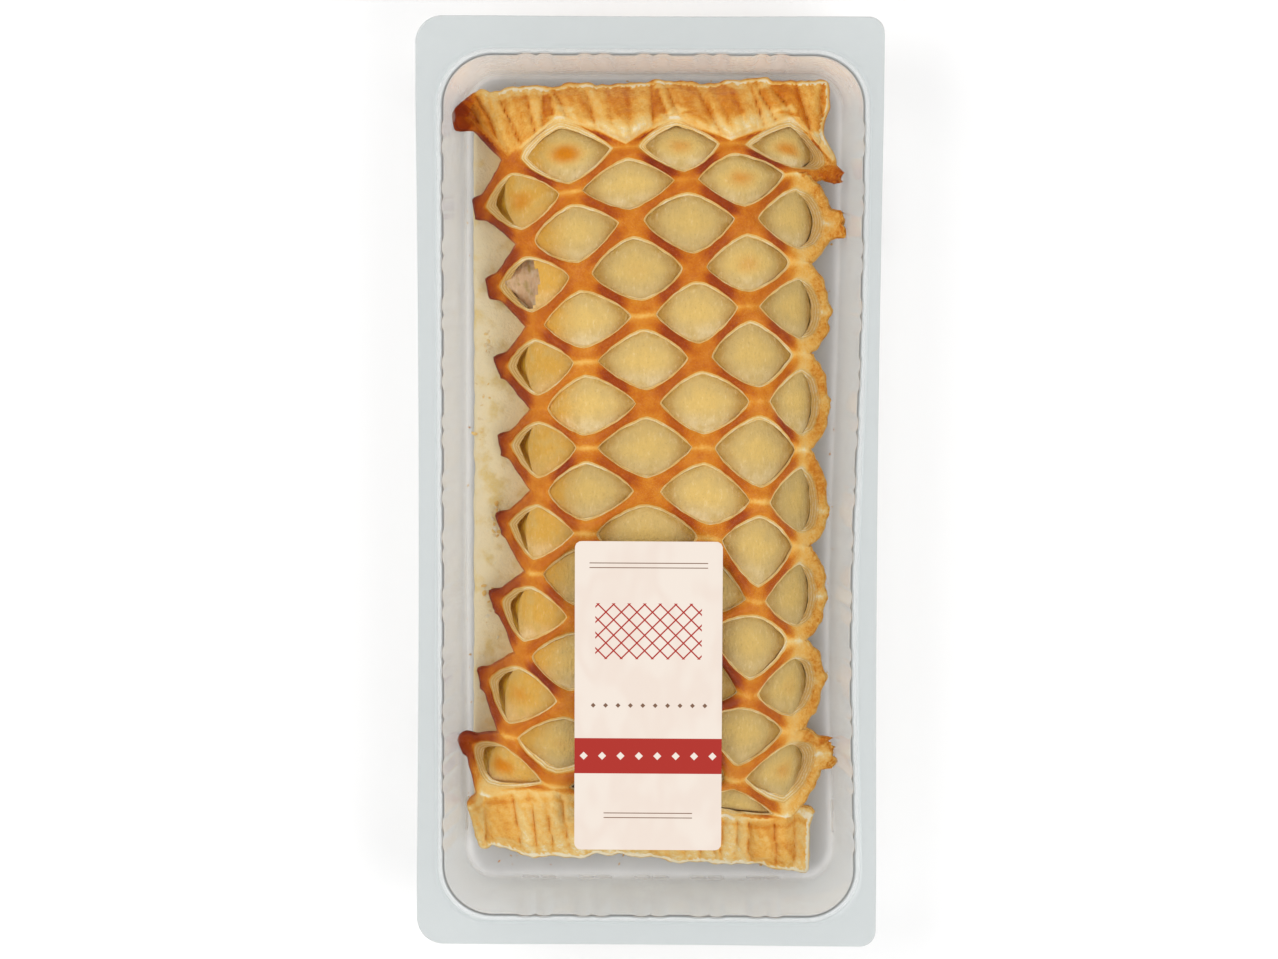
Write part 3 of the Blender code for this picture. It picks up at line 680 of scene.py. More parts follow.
def baked_dough(look, name):
    """Glazed crust whose mark bake runs from raw at 0 to dark at 1."""
    finish = Finish(name, Coat_Roughness=0.35, Specular_IOR_Level=0.08)
    bake = finish.mark("bake")
    blotch = finish.speckle(3.5, detail=3.0)
    grain = finish.speckle(0.55, detail=2.0, layer=4.0)
    layer = finish.mark("layer")
    seam = abs((layer / 0.9 + (blotch - 0.5) * 0.8).wrapped(0.0, 1.0) - 0.5) * 2
    seam = (1 - seam.rise(0.2, 0.7)) * layer.rise(0.1, 0.5)
    flaky = finish.mark("flaky")
    chips = finish.speckle(1.5, detail=4.0, rough=0.7, layer=6.0)
    level = bake + (blotch - 0.5) * 0.24 + (grain - 0.5) * 0.24 + seam * 0.1
    level = level + flaky * (chips - 0.5) * 0.8
    stops = (
        (0.0, look.flour),
        (0.16, look.cut),
        (0.34, look.gold),
        (0.5, look.light),
        (0.64, look.crust),
        (0.82, look.brown),
        (1.0, look.dark),
    )
    crust = finish.ramp(level, stops)
    # Painted shade on the wide cut edges at the left and right, following their layer lines
    tan = finish.mark("tan") * (0.68 + seam * 0.32)
    crust = finish.tint(crust, look.tan, tan)
    flakes = finish.cells(0.8)
    glazed = bake.rise(0.3, 0.55)
    height = grain * 0.6 + blotch * 0.5 + flakes * 0.35 * (1 - glazed) - seam * 0.8
    height = height + flaky * chips * 1.6
    return finish.dress(
        Base_Color=crust,
        Roughness=0.62 - glazed * 0.22 + (grain - 0.5) * 0.15,
        Coat_Weight=glazed * 0.1,
        Normal=finish.bump(height, 0.0004, 0.7),
    )


def cover_dough(look):
    """Pale dough of the pillows: olive painted shade towards the holes' tips, specks with painted
    shade round their rims and on the skirt, floury low down and toasted in places.
    """
    finish = Finish("cover_dough", Specular_IOR_Level=0.08)
    middle = finish.mark("middle")
    toast = finish.mark("toast")
    cloud = finish.speckle(4.0, detail=3.0)
    grain = finish.speckle(0.8, detail=3.0, rough=0.7, scale=(1.0, 0.4, 1.0), layer=2.0)
    pores = finish.cells(1.1)
    yellow = (middle + toast * 0.8 + (cloud - 0.5) * 0.9).rise(0.0, 0.8)
    tone = finish.tint(look.pillow, look.pillow_middle, yellow)
    # Olive painted shade towards the holes' tips, where the pillows run under the strands
    shaded = finish.mark("tip") * (0.5 + cloud.rise(0.35, 0.6) * 0.5)
    tone = finish.tint(tone, look.pillow_tip_shade, shaded * 0.95)
    # Patchy specks with painted shade round each pillow's rim, where it passes under the strands,
    # except low down
    patchy = cloud.rise(0.4, 0.62) * grain.rise(0.35, 0.55)
    low = finish.mark("low")
    rim = (1 - (middle + (grain - 0.5) * 0.12).rise(0.02, 0.16)) * patchy * (1 - low)
    tone = finish.tint(tone, look.pillow_specks_and_shade, rim * 0.8)
    golden = finish.mark("golden") * (0.45 + cloud.rise(0.3, 0.6) * 0.45)
    tone = finish.tint(tone, look.pillow_gold, golden)
    # Painted shade down the cover's turned-down skirt; its left flank then takes the side colour
    skirt = finish.mark("skirt")
    tone = finish.tint(tone, look.pillow_specks_and_shade, skirt.rise(0.05, 0.3))
    tone = finish.tint(tone, look.pillow_side, finish.mark("side").rise(0.05, 0.3))
    spot = (toast + (cloud - 0.5) * 0.3 * toast.rise(0.0, 0.3)).rise(0.08, 0.95)
    tone = finish.tint(tone, look.toast, spot)
    floury = low * cloud.rise(0.3, 0.65) * 0.36 + grain.rise(0.56, 0.7) * 0.2
    tone = finish.tint(tone, look.flour, floury * (1 - spot) * (1 - skirt))
    shade = (1 - (1 - pores.rise(0.0, 0.28)) * 0.16) * (0.84 + grain * 0.3)
    shade = shade * (1 + finish.mark("tone") * 0.07)
    grey = finish.add("ShaderNodeCombineColor", inputs=(shade,) * 3)
    tone = finish.tint(tone, grey, 1.0, "MULTIPLY")
    height = grain * 0.7 + cloud * 0.3 + pores * 0.25
    return finish.dress(
        Base_Color=tone, Roughness=0.72 - spot * 0.2, Normal=finish.bump(height, 0.0008, 0.8)
    )


def pale_dough(look):
    """Floury bottom sheet with yellow patches, and painted light beside the lattice that lifts the
    shade it casts.
    """
    finish = Finish("pale_dough", Roughness=0.78, Specular_IOR_Level=0.1)
    cloud = finish.speckle(7.0, detail=4.0)
    grain = finish.speckle(0.8, detail=3.0, rough=0.65, layer=3.0)
    # Painted light beside the lattice, lifting its shade
    tone = finish.tint(look.base, look.base_fill_light, finish.mark("inner"))
    tone = finish.tint(tone, look.base_patch, cloud.rise(0.48, 0.66))
    tone = finish.tint(tone, look.flour, grain.rise(0.5, 0.75) * 0.5)
    return finish.dress(Base_Color=tone, Normal=finish.bump(grain + cloud, 0.0005, 0.8))


def salmon_filling(look):
    """Moist pinkish filling."""
    finish = Finish("salmon_filling", Roughness=0.45)
    cloud = finish.speckle(2.4, detail=3.0)
    flakes = finish.cells(1.6, scale=(1.0, 0.5, 1.0))
    tone = finish.tint(look.filling, look.filling_patch, cloud.rise(0.45, 0.7))
    tone = finish.tint(tone, look.flour, flakes.rise(0.55, 0.9) * 0.35)
    return finish.dress(Base_Color=tone, Normal=finish.bump(cloud + flakes, 0.0006))


def clear_plastic(pack):
    """Clear formed sheet, denser where it is seen edge on, with a painted dark line under its rim and
    painted warm light on its far wall.
    """
    finish = Finish("clear_plastic", Roughness=0.12, IOR=1.5)
    edge_on = finish.add("ShaderNodeLayerWeight", inputs={"Blend": 0.35}, output="Facing")
    streaks = finish.speckle(9.0, detail=2.0, scale=(1.0, 0.12, 1.0))
    line = finish.mark("line")
    shine = finish.mark("shine")
    cover = pack.plastic_clear + (streaks - 0.5) * 0.06 + edge_on * 0.4
    glint = finish.mark("glint")
    cover = cover + finish.mark("brim") * 0.45 + line * 0.6 + shine * 0.2 + glint * 0.7
    tone = finish.tint(pack.plastic, pack.wall, finish.mark("wall"))
    # Painted warm light on the far wall
    tone = finish.tint(tone, pack.far_wall_light, finish.mark("far"))
    # Painted dark line where the wall turns over under the rim
    tone = finish.tint(tone, pack.edge, line)
    tone = finish.tint(tone, (1.0, 1.0, 1.0), glint)
    wave = finish.speckle(5.0, detail=1.0)
    return finish.dress(Base_Color=tone, Alpha=cover, Normal=finish.bump(wave, 0.0003, 0.4))


def clear_film(pack):
    """Thin clear film."""
    finish = Finish("clear_film", Base_Color=pack.film, Roughness=0.08, IOR=1.45)
    edge_on = finish.add("ShaderNodeLayerWeight", inputs={"Blend": 0.3}, output="Facing")
    return finish.dress(Alpha=pack.film_clear + edge_on * 0.12)


# The label's ornaments: heights as shares of the label's, reaches as shares of its width, and
# pitches and half-widths in millimetres
BAND_HEIGHTS = (0.249, 0.363)
THIN_LINES = ((0.93, 0.4), (0.915, 0.4), (0.12, 0.3), (0.105, 0.3))
THIN_LINE_HALF = 0.12
TRELLIS_HEIGHTS = (0.62, 0.8)
TRELLIS_REACH = 0.36
TRELLIS_PITCH = 5.0
TRELLIS_ROD = (0.28, 0.36)
DOTS_HEIGHT = 0.47
DOTS_REACH = 0.4
DOTS_PITCH = 4.0
DOT_HALF = (0.75, 0.85)
DIAMONDS_HEIGHT = 0.306
DIAMONDS_PITCH = 5.94
DIAMOND_HALF = (1.25, 1.35)
PRINT_SOFT = 0.05
PRINT_FADE = 0.1


def label_paper(pack, box):
    """Cream paper with soft marbling, a red band, thin lines and a small trellis."""
    low, high = (corner / MM for corner in box)
    finish = Finish("label_paper", Roughness=0.42, Specular_IOR_Level=0.12)
    x, y, _ = finish.axes()
    x = x - low.x
    y = y - low.y
    width = high.x - low.x
    tall = high.y - low.y
    paper, band_tint, ink = pack.paper, pack.band, pack.ink
    side = abs(x - width / 2)

    def reaching(part):
        """1 up to a share of the width on both sides of the middle."""
        return 1 - side.rise(width * part, width * part + PRINT_FADE)

    def rhombs(pitch, height, half):
        """Row of small squares on their corners."""
        away = abs(x.wrapped(0.0, pitch) - pitch / 2) + abs(y - tall * height)
        return 1 - away.rise(*half)

    swirl = finish.speckle(16.0, detail=2.0, scale=(1.0, 0.6, 1.0))
    vein = (1 - abs(swirl - 0.5) * 9).rise(0.0, 1.0) * 0.35
    tone = finish.tint(paper, pack.vein, vein)
    bottom, top = BAND_HEIGHTS
    band = y.within(tall * bottom, tall * top, PRINT_SOFT)
    tone = finish.tint(tone, band_tint, band)
    for height, reach in THIN_LINES:
        bottom, top = tall * height - THIN_LINE_HALF, tall * height + THIN_LINE_HALF
        tone = finish.tint(tone, ink, y.within(bottom, top, PRINT_SOFT) * reaching(reach))
    first = abs((x + y).wrapped(0.0, TRELLIS_PITCH) - TRELLIS_PITCH / 2)
    second = abs((x - y).wrapped(0.0, TRELLIS_PITCH) - TRELLIS_PITCH / 2)
    rods = 1 - first.smaller(second).rise(*TRELLIS_ROD)
    bottom, top = TRELLIS_HEIGHTS
    panel = y.within(tall * bottom, tall * top, PRINT_SOFT) * reaching(TRELLIS_REACH)
    tone = finish.tint(tone, band_tint, rods * panel)
    dots = rhombs(DOTS_PITCH, DOTS_HEIGHT, DOT_HALF) * reaching(DOTS_REACH)
    tone = finish.tint(tone, ink, dots)
    tone = finish.tint(tone, paper, rhombs(DIAMONDS_PITCH, DIAMONDS_HEIGHT, DIAMOND_HALF) * band)
    fibre = finish.speckle(0.5, detail=2.0)
    return finish.dress(Base_Color=tone, Normal=finish.bump(fibre, 0.00005, 0.3))


def sheet_point(line, row):
    """A crossing as x, y, line and row, which are mixed together along the sheet."""
    return np.array((*crossing(line, row), line, row), float)


# Waves as size, layer and height, in millimetres
SHEET_WAVES = ((9.0, 0.0, 0.5), (3.0, 0.0, 0.12), (1.2, 0.0, 0.07))
END_EDGE_WAVES = ((4.0, 1.0, 0.9), (11.0, 2.0, 1.9), (1.7, 9.0, 0.4))
HOLE_BORDER_WAVES = ((2.2, 2.2, 0.22),)
HOLE_EDGE_WAVES = ((3.5, 3.5, 0.35),)
COVER_WAVES = ((5.0, 1.0, 0.25), (1.8, 2.0, 0.12))
FILLING_WAVES = ((4.0, 1.0, 0.4),)
BASE_WAVES = ((9.0, 2.0, 0.3), (2.2, 3.0, 0.14))
LABEL_WAVES = ((20.0, 0.0, 0.05),)


def strand_top(points, relief):
    """Heights of the lattice sheet's top, in millimetres above the pack's underside."""
    rough = waved(points[..., 0], points[..., 1], SHEET_WAVES)
    return WALL + dome(points[..., 2], points[..., 3]) + relief + rough


def strand_bottom(points, sizes):
    """Heights of the lattice sheet's underside, in millimetres above the pack's underside."""
    height = dome(points[..., 2], points[..., 3])
    return WALL + height - np.minimum(sizes.strand / MM, height - LIFT)


# The sheet's outer border: the share of its profile's drops, the drop where its side ends, the
# one where the glaze ends, and the marks that its underside carries
BORDER_DROP = 0.9
LAST_SIDE_DROP = 3.0
GLAZED_DROP = 0.5
UNDER_SHARE = 1.3
UNDER_LAYER = 3.5


def border_rows(inner, outer, relief, lift, sizes):
    """Points, outward shares and layer marks of the border, from its inner to its outer row."""
    rows = []
    shares = []
    layers = []
    for part, drop, under in BORDER_PROFILE:
        points = mix(inner, outer, part)
        top = strand_top(points, relief * (1 - part) + lift * part) - drop * BORDER_DROP
        bottom = strand_bottom(points, sizes) + lift * part
        rows.append(raised(points, mix(top, bottom, under)))
        on_side = under == 0
        share_out = part if on_side and drop < LAST_SIDE_DROP else UNDER_SHARE
        shares.append(np.full(len(points), share_out))
        layers.append(np.full(len(points), max(drop - GLAZED_DROP, 0) if on_side else UNDER_LAYER))
    return np.array(rows), np.array(shares), np.array(layers)


# Reaches of the holes' crown borders from their middles, and of the cut lips inside them, as
# shares of the way to the crossings at the left, far, right and near side
CROWN_ACROSS = 0.79
CROWN_ALONG = 0.7
SIDE_CROWN_ACROSS = 0.86
LIP_REACHES = (0.032, 0.07, 0.032, 0.05)
FAR_ROW_CROWN = (0.0, 0.18, 0.0, 0.08)
FAR_ROW_LIP = (0.14, 0.1, 0.04, 0.0)
NEAR_ROWS_LIP = (0.02, 0.0, 0.02, 0.13)
LEFT_LIP = 0.24
INNER_RIGHT_LIP = 0.06
RIGHT_LIP = 0.3

# Outlines of the holes between their pointed and their blunt sides, and the strands' bends
HOLE_CURVE = 1.42
HOLE_ROUNDNESS = 0.8
FAR_HOLE_CURVE = 1.3
SIDE_HOLE_CURVE = 1.3
SIDE_HOLE_ROUNDNESS = 0.6
SIDE_BULGE = 1.7
STRAND_BEND = 1.1
TIP_CROWDING = 0.6

# Random numbers of every strand and hole, by line, row and use
LUCK = np.random.default_rng(11).random((2 * LAST_LINE + 4, 48, 8))

# Baking from raw at 0 to dark at 1
CROSSING_BAKE = 0.585
RIGHT_CROSSING_BAKE = 0.4
RIGHT_STRAND_BAKE = 0.38
STRETCH_FADE = 0.12
WEB_PALENESS = 0.3
FAR_PALENESS = 0.44
NEAR_PALENESS = 0.3
RIGHT_PALENESS = 0.08
LEFT_CREST_BAKE = 0.16
CROWN_EDGE_PALENESS = 0.06
CUT_BAKE = 0.09


def strand_luck(start, end):
    """Random numbers that belong to the strand between two crossings."""
    line = int(round(start[2] + end[2]))
    row = int(round(start[3] + end[3])) + 8
    return LUCK[line, row]


def strand_path(start, end, parts):
    """Crest of the strand between two crossings, with its own slight bend."""
    if start[2] > end[2]:
        return strand_path(end, start, 1 - parts)
    path = mix(start, end, parts[:, None])
    along = end[:2] - start[:2]
    across = np.array((abs(along[1]), -along[0] * np.sign(along[1]))) / np.linalg.norm(along)
    bend = (strand_luck(start, end)[3] - 0.5) * STRAND_BEND
    if start[2] + end[2] == 2 * LAST_LINE - 1 and FIRST_OPEN_ROW <= min(start[3], end[3]):
        bend = SIDE_BULGE
    path[:, :2] += across * bend * (np.sin(math.pi * parts) ** 2)[:, None]
    return path


def side_bake(x, y):
    """How much more the oven browned one place of the lattice than another."""
    left = rise(-x, 15.0, 50.0) * 0.02
    far = rise(y, 20.0, 110.0) * 0.04
    pale_end = rise(-y, 85.0, 115.0) * 0.08
    return left + far - pale_end + waver(x, y, 22.0, 5.0) * 0.05


def strand_bake(start, end, parts):
    """Bake along one strand, darker in its middle stretch than at its crossings."""
    luck = strand_luck(start, end)
    t = parts if start[3] < end[3] else 1 - parts
    first = 0.14 + 0.2 * luck[0]
    last = 0.68 + 0.2 * luck[1]
    stretch = rise(t, first - STRETCH_FADE, first + STRETCH_FADE)
    stretch = stretch * (1 - rise(t, last - STRETCH_FADE, last + STRETCH_FADE))
    falls_right = (start[2] < end[2]) == (start[3] < end[3])
    depth = 0.13 + 0.22 * luck[2] if falls_right else 0.04 + 0.26 * luck[2] ** 1.5
    level = CROSSING_BAKE
    if min(start[3], end[3]) > 0:
        if start[2] + end[2] == 2 * LAST_LINE - 1:
            return RIGHT_STRAND_BAKE + 0.5 * depth * stretch
        if start[2] + end[2] == 2 * LAST_LINE - 3:
            outwards = parts if start[2] < end[2] else 1 - parts
            level = mix(level, RIGHT_CROSSING_BAKE, rise(outwards, 0.7, 1.0))
    return level + depth * stretch


def paleness(line, row):
    """How much less the dough is baked in webs between the holes' tips and at both ends."""
    total = 2 * np.floor((line + row) / 2) + 1
    apart = 2 * np.floor((line - row) / 2) + 1
    node_line = (total + apart) / 2
    node_row = (total - apart) / 2
    luck = LUCK[clamp(node_line, 0, LAST_LINE).astype(int), node_row.astype(int) + 8, 5]
    off = ((row - node_row) / 0.065) ** 2 + ((line - node_line) / 0.25) ** 2
    web = rise(luck + 0.25 * rise(line, 5.5, 6.0), 0.3, 0.9) * np.exp(-off) * rise(line, 0.5, 1.0)
    far = (1 - rise(row, -0.75, -0.35)) * rise(line, 0.6, 1.3)
    corner = (1 - rise(row, -0.35, -0.1)) * rise(line, 1.0, 1.3) * (1 - rise(line, 1.9, 2.2))
    near = rise(row, 15.1, 15.5) * rise(line, 0.2, 0.6)
    right = rise(line, 5.8, 6.05)
    ends = FAR_PALENESS * np.maximum(far, corner)
    return WEB_PALENESS * web + ends + NEAR_PALENESS * near + RIGHT_PALENESS * right


def cell_reaches(line, row):
    """Reach of a cell's crown border and of its cut edge towards its left, far, right, near."""
    luck = LUCK[2 * line, row + 4]
    across = CROWN_ACROSS + 0.03 * (luck[3] - 0.5)
    along = CROWN_ALONG + 0.05 * (luck[4] - 0.5)
    crown = np.array((across, along, across, along))
    lip = np.array(LIP_REACHES)
    lip[1] += 0.05 * luck[5]
    if row == FIRST_OPEN_ROW:
        crown += FAR_ROW_CROWN
        lip += FAR_ROW_LIP
    if row >= LAST_OPEN_ROW - 1:
        lip += NEAR_ROWS_LIP
    if line == 1:
        crown[0] = SIDE_CROWN_ACROSS
        lip[0] += LEFT_LIP
    if line == LAST_LINE - 2:
        lip[2] += INNER_RIGHT_LIP * luck[6]
    if line == LAST_LINE - 1:
        crown[2] = SIDE_CROWN_ACROSS
        lip[2] += RIGHT_LIP
    return crown, crown - lip


def quadrant(middle, tip, blunt, across, along, to_tip, curve, roundness=1.0):
    """Points of an outline between its pointed and its blunt side."""
    reach_tip = across * to_tip
    reach_blunt = along * (1 - to_tip**curve) ** roundness
    return (
        middle
        + reach_tip[:, None] * (tip - middle)
        + reach_blunt[:, None] * (blunt - middle)
    )


def cell_outlines(line, row, sizes):
    """Crests, crown border and cut edge all round one hole, and the bake of its crests."""
    corners = [
        sheet_point(line - 1, row),
        sheet_point(line, row - 1),
        sheet_point(line + 1, row),
        sheet_point(line, row + 1),
    ]
    middle = sum(corners) / 4
    middle[2:] = line, row
    crown_reach, hole_reach = cell_reaches(line, row)
    luck = LUCK[2 * line, row + 6]
    parts = np.arange(sizes.steps) / sizes.steps
    sides = []
    for k in range(4):
        start, end = corners[k], corners[(k + 1) % 4]
        to_tip = 1 - parts if k % 2 == 0 else parts
        tip, blunt = (k, (k + 1) % 4) if k % 2 == 0 else ((k + 1) % 4, k)
        ends = middle, corners[tip], corners[blunt]
        at_side = line == LAST_LINE - 1 and k in (1, 2)
        curve = SIDE_HOLE_CURVE if at_side else HOLE_CURVE
        power = SIDE_HOLE_ROUNDNESS if at_side else HOLE_ROUNDNESS + 0.2 * (luck[tip] - 0.5)
        hole_curve = FAR_HOLE_CURVE if row == FIRST_OPEN_ROW and k in (0, 1) else curve
        to_tip = mix(to_tip, np.sin(to_tip * math.pi / 2), TIP_CROWDING)
        border = quadrant(*ends, crown_reach[tip], crown_reach[blunt], to_tip, curve, power)
        edge = quadrant(*ends, hole_reach[tip], hole_reach[blunt], to_tip, hole_curve, power)
        if at_side:
            bulge = SIDE_BULGE * np.sin(math.pi * to_tip) ** 2
            border[:, 0] += bulge * 0.5
        sides.append((strand_path(start, end, parts), border, edge, strand_bake(start, end, parts)))
    crest, border, edge, bake = (np.concatenate(column) for column in zip(*sides))
    for outline, waves in ((border, HOLE_BORDER_WAVES), (edge, HOLE_EDGE_WAVES)):
        inward = middle - outline
        shift = waved(outline[:, 0], outline[:, 1], waves)
        outline += inward * (shift / np.linalg.norm(inward[:, :2], axis=1))[:, None]
    return crest, border, edge, bake


# The cut lips, in millimetres: where their crown ends, how far they stay above the underside,
# their least drop, their drop for each millimetre of width, and the drop of the turn below them
CROWN_DROP = CROWN_PROFILE[-1][1]
LIP_ABOVE_BOTTOM = 0.5
LIP_LEAST_DROP = 1.0
LIP_SLOPE = 0.6
LIP_TURN_DROP = 1.7
# How far back from the edge the turn ends and how far out the underside's rings lie, as shares of
# the way, and the shares of the lip that stand for both
LIP_TURN_BACK = 0.05
UNDERSIDE_SHARES = (0.93, 0.0)
LIP_TURN_MARK = 1.2
UNDERSIDE_MARK = 1.5


def open_cell(shell, line, row, sizes):
    """Strand surfaces round one hole, from the crests to the cut edge and back underneath."""
    crest, border, edge, bake = cell_outlines(line, row, sizes)
    wide = np.linalg.norm((edge - border)[:, :2], axis=1)
    thick = np.minimum(sizes.strand / MM, dome(edge[:, 2], edge[:, 3]) - LIFT)
    room = thick - LIP_ABOVE_BOTTOM
    lip_drop = np.minimum(np.maximum(LIP_LEAST_DROP, LIP_SLOPE * wide), room - CROWN_DROP)
    # Each ring as its places, its drop, its share of the way to the underside and of the lip
    rings = [(mix(crest, border, part), drop, 0.0, -1.0) for part, drop in CROWN_PROFILE]
    for part, down in LIP_PROFILE:
        rings.append((mix(border, edge, part), CROWN_DROP + down * lip_drop, 0.0, part))
    turn_drop = np.minimum(LIP_TURN_DROP + lip_drop, room)
    rings.append((mix(edge, border, LIP_TURN_BACK), turn_drop, 0.0, LIP_TURN_MARK))
    rings += [(mix(crest, edge, part), 0.0, 1.0, UNDERSIDE_MARK) for part in UNDERSIDE_SHARES]
    points = []
    marks = {"bake": [], "layer": [], "tan": [], "flaky": []}
    for place, drop, under, lip in rings:
        x, y, at_line, at_row = place.T
        top = strand_top(place, 0.0) - drop
        points.append(raised(place, mix(top, strand_bottom(place, sizes), under)))
        if lip < 0:
            level = bake + side_bake(x, y) - paleness(at_line, at_row)
            at_left = 1 - rise(at_line, 0.0, 0.3)
            level += LEFT_CREST_BAKE * at_left * (1 - rise(drop, 0.0, 0.5))
            level = mix(level, level - CROWN_EDGE_PALENESS, rise(drop, 0.1, 0.6))
        else:
            cut = CUT_BAKE + 0.06 * waver(x, y, 4.0, 6.0) + 0.07 * rise(lip, 0.9, 1.4)
            level = cut + 0.06 * (1 - rise(lip, 0.1, 0.4))
        # The wide cut edges at both sides take painted shade
        side = rise(1 - at_line, 0.1, 0.35) + 0.9 * rise(at_line - LAST_LINE + 1, 0.15, 0.3)
        marks["bake"].append(level)
        marks["layer"].append(clamp(lip, 0.0, 1.1) * wide)
        marks["tan"].append(side * rise(lip, 0.05, 0.3))
        marks["flaky"].append(rise(at_line, 6.1, 6.4))
    marks = {name: np.array(values) for name, values in marks.items()}
    shell.grid(np.array(points), closed=True, **marks)


BAND_ROWS = 36
UNDERSIDE_STEP = 4


def bump_at(value, middle, half):
    """Smooth bump of height 1 at the middle, gone at the half-width past it."""
    return 1 - rise(abs(value - middle), 0.0, half)


def far_off(line, row):
    """0 on the strands of the far end's squashed cells and 1 in the cells' middles."""
    away = abs(line - 2 * np.round(line / 2))
    return away - np.maximum(row - FAR_LAST_ROW, 0)


def near_off(line, row):
    """0 on the strands of the near end's squashed cells and 1 in the cells' middles."""
    away = abs(line - (2 * np.floor(line / 2) + 1))
    return away - np.maximum(NEAR_LAST_ROW - row, 0)


class Fold(NamedTuple):
    """One fold of a crimped end, in millimetres.

    x is its left crease at mid-depth, lean the crease's shift to the right for each step towards
    the near end, bake its baking and swell its rise.
    """

    x: float
    lean: float
    bake: float
    swell: float


FAR_FOLDS = (
    Fold(-70.0, 0.6, 0.74, 0.6),
    Fold(-58.3, 0.55, 0.43, 1.6),
    Fold(-54.0, 0.55, 0.31, 1.8),
    Fold(-47.0, 0.5, 0.39, 2.0),
    Fold(-39.0, 0.3, 0.28, 1.9),
    Fold(-34.5, 0.02, 0.57, 0.2),
    Fold(-31.4, 0.2, 0.27, 1.8),
    Fold(-28.0, 0.6, 0.40, 1.9),
    Fold(-19.0, 0.3, 0.27, 4.2),
    Fold(0.6, 0.05, 0.55, 0.3),
    Fold(4.8, 0.3, 0.29, 1.9),
    Fold(8.6, 0.45, 0.44, 1.9),
    Fold(19.0, 0.5, 0.30, 4.0),
    Fold(35.2, 0.35, 0.29, 1.8),
    Fold(39.0, 0.6, 0.45, 1.8),
    Fold(45.0, 0.7, 0.55, 1.2),
    Fold(50.0, 0.3, 0.37, 1.8),
    Fold(55.6, 0.0, 0.47, 2.4),
)
NEAR_PLEATS = (Fold(float(x), 0.1, 0.26, 1.5) for x in np.arange(-42.4, 22.0, 5.35))
NEAR_FOLDS = (
    Fold(-75.0, 0.0, 0.28, 1.2),
    Fold(-53.4, 0.0, 0.38, 1.8),
    *NEAR_PLEATS,
    Fold(24.5, 0.0, 0.2, 1.0),
    Fold(29.2, 0.0, 0.24, 1.0),
    Fold(33.5, 0.05, 0.39, 2.8),
    Fold(42.1, 0.05, 0.43, 2.6),
    Fold(48.6, 0.0, 0.33, 1.4),
)
# Where the last folds end, the least width and the drift of one, in millimetres, how round a
# fold is, and the bake and the depth of its creases
FOLDS_END = 80.0
LEAST_FOLD = 0.5
FOLD_DRIFT = 0.8
FOLD_POWER = 0.6
CREASE_BAKE = 0.52
CREASE_DEPTH = 0.65
# Folds that swell more than this are pillows, with a baked heart and two pleats
PILLOW_SWELL = 3.0
PLEATS = (0.32, 0.62)
PLEAT_HALF = 0.05
PLEAT_DEPTH = 0.7
PLEAT_BAKE = 0.1
HEART_HALF = 0.3
HEART_BAKE = 0.2
PILLOW_PALENESS = 0.24
SEAM_BAKE = 0.56
TORN_BAKE = 0.15
FLAKE_BAKE = 0.12
CREAM_BAKE = 0.16
UNDER_BAKE = 0.3
FAR_CORNER_WAIST = 3.2


def bell(value, middle, half):
    """Bell curve of height 1 at the middle."""
    return np.exp(-(((value - middle) / half) ** 2))


def far_tones(level, x, y, depth, apart):
    """Bake of the far end with its torn edge, its flakes and the cream beside its strands."""
    torn = rise(waver(x, y, 8.0, 12.0) + 0.5 * rise(-x, 38.0, 42.0), 0.1, 0.3)
    level = mix(level, TORN_BAKE, 0.75 * torn * rise(depth, 0.86, 0.93))
    flakes = rise(waver(x, y, 6.0, 14.0), -0.05, 0.2) * (1 - rise(depth, 0.3, 0.5))
    flakes = 0.8 * flakes * rise(apart, 0.08, 0.14) * rise(x, -32.0, -28.0)
    level = mix(level, FLAKE_BAKE, flakes)
    cream = (1 - rise(apart, 0.2, 0.45)) * (1 - rise(depth, 0.35, 0.6)) * rise(x, -36.0, -31.0)
    return mix(level, CREAM_BAKE, 0.75 * cream * rise(apart, 0.05, 0.12))


def near_tones(level, x, y, depth, apart):
    """Bake of the near end, paler in patches of its edge and darker beside its crossings."""
    level = level - 0.08 * rise(depth, 0.75, 0.95) * rise(waver(x, y, 9.0, 12.0), -0.1, 0.2)
    return level + 0.12 * bump_at(depth, 0.16, 0.07) * rise(apart, 0.1, 0.2)


class CrimpedEnd(NamedTuple):
    """One crimped end of the sheet.

    side is 1 at the far end and -1 at the near one, zigzag the row of its last crossing on each
    line, last_row the row where its squashed cells' strands end, edge_row that of its outer
    edge, off the function for how far a place is from those strands, tones the one that shades
    its bake, crease_half the half-width of the creases in millimetres and crease_tone how far
    they take on a bake of their own.
    """

    side: int
    zigzag: tuple
    last_row: int
    edge_row: float
    off: Callable
    tones: Callable
    folds: tuple
    crease_half: float
    crease_tone: float


FAR_END = CrimpedEnd(
    side=1,
    zigzag=tuple(-1 if line % 2 == 0 else 0 for line in range(LAST_LINE + 1)),
    last_row=FAR_LAST_ROW,
    edge_row=FAR_EDGE_ROW,
    off=far_off,
    tones=far_tones,
    folds=FAR_FOLDS,
    crease_half=0.75,
    crease_tone=0.5,
)
NEAR_END = CrimpedEnd(
    side=-1,
    zigzag=(16.5, *(16 if line % 2 else 15 for line in range(1, LAST_LINE + 1))),
    last_row=NEAR_LAST_ROW,
    edge_row=NEAR_EDGE_ROW,
    off=near_off,
    tones=near_tones,
    folds=NEAR_FOLDS,
    crease_half=0.5,
    crease_tone=0.4,
)


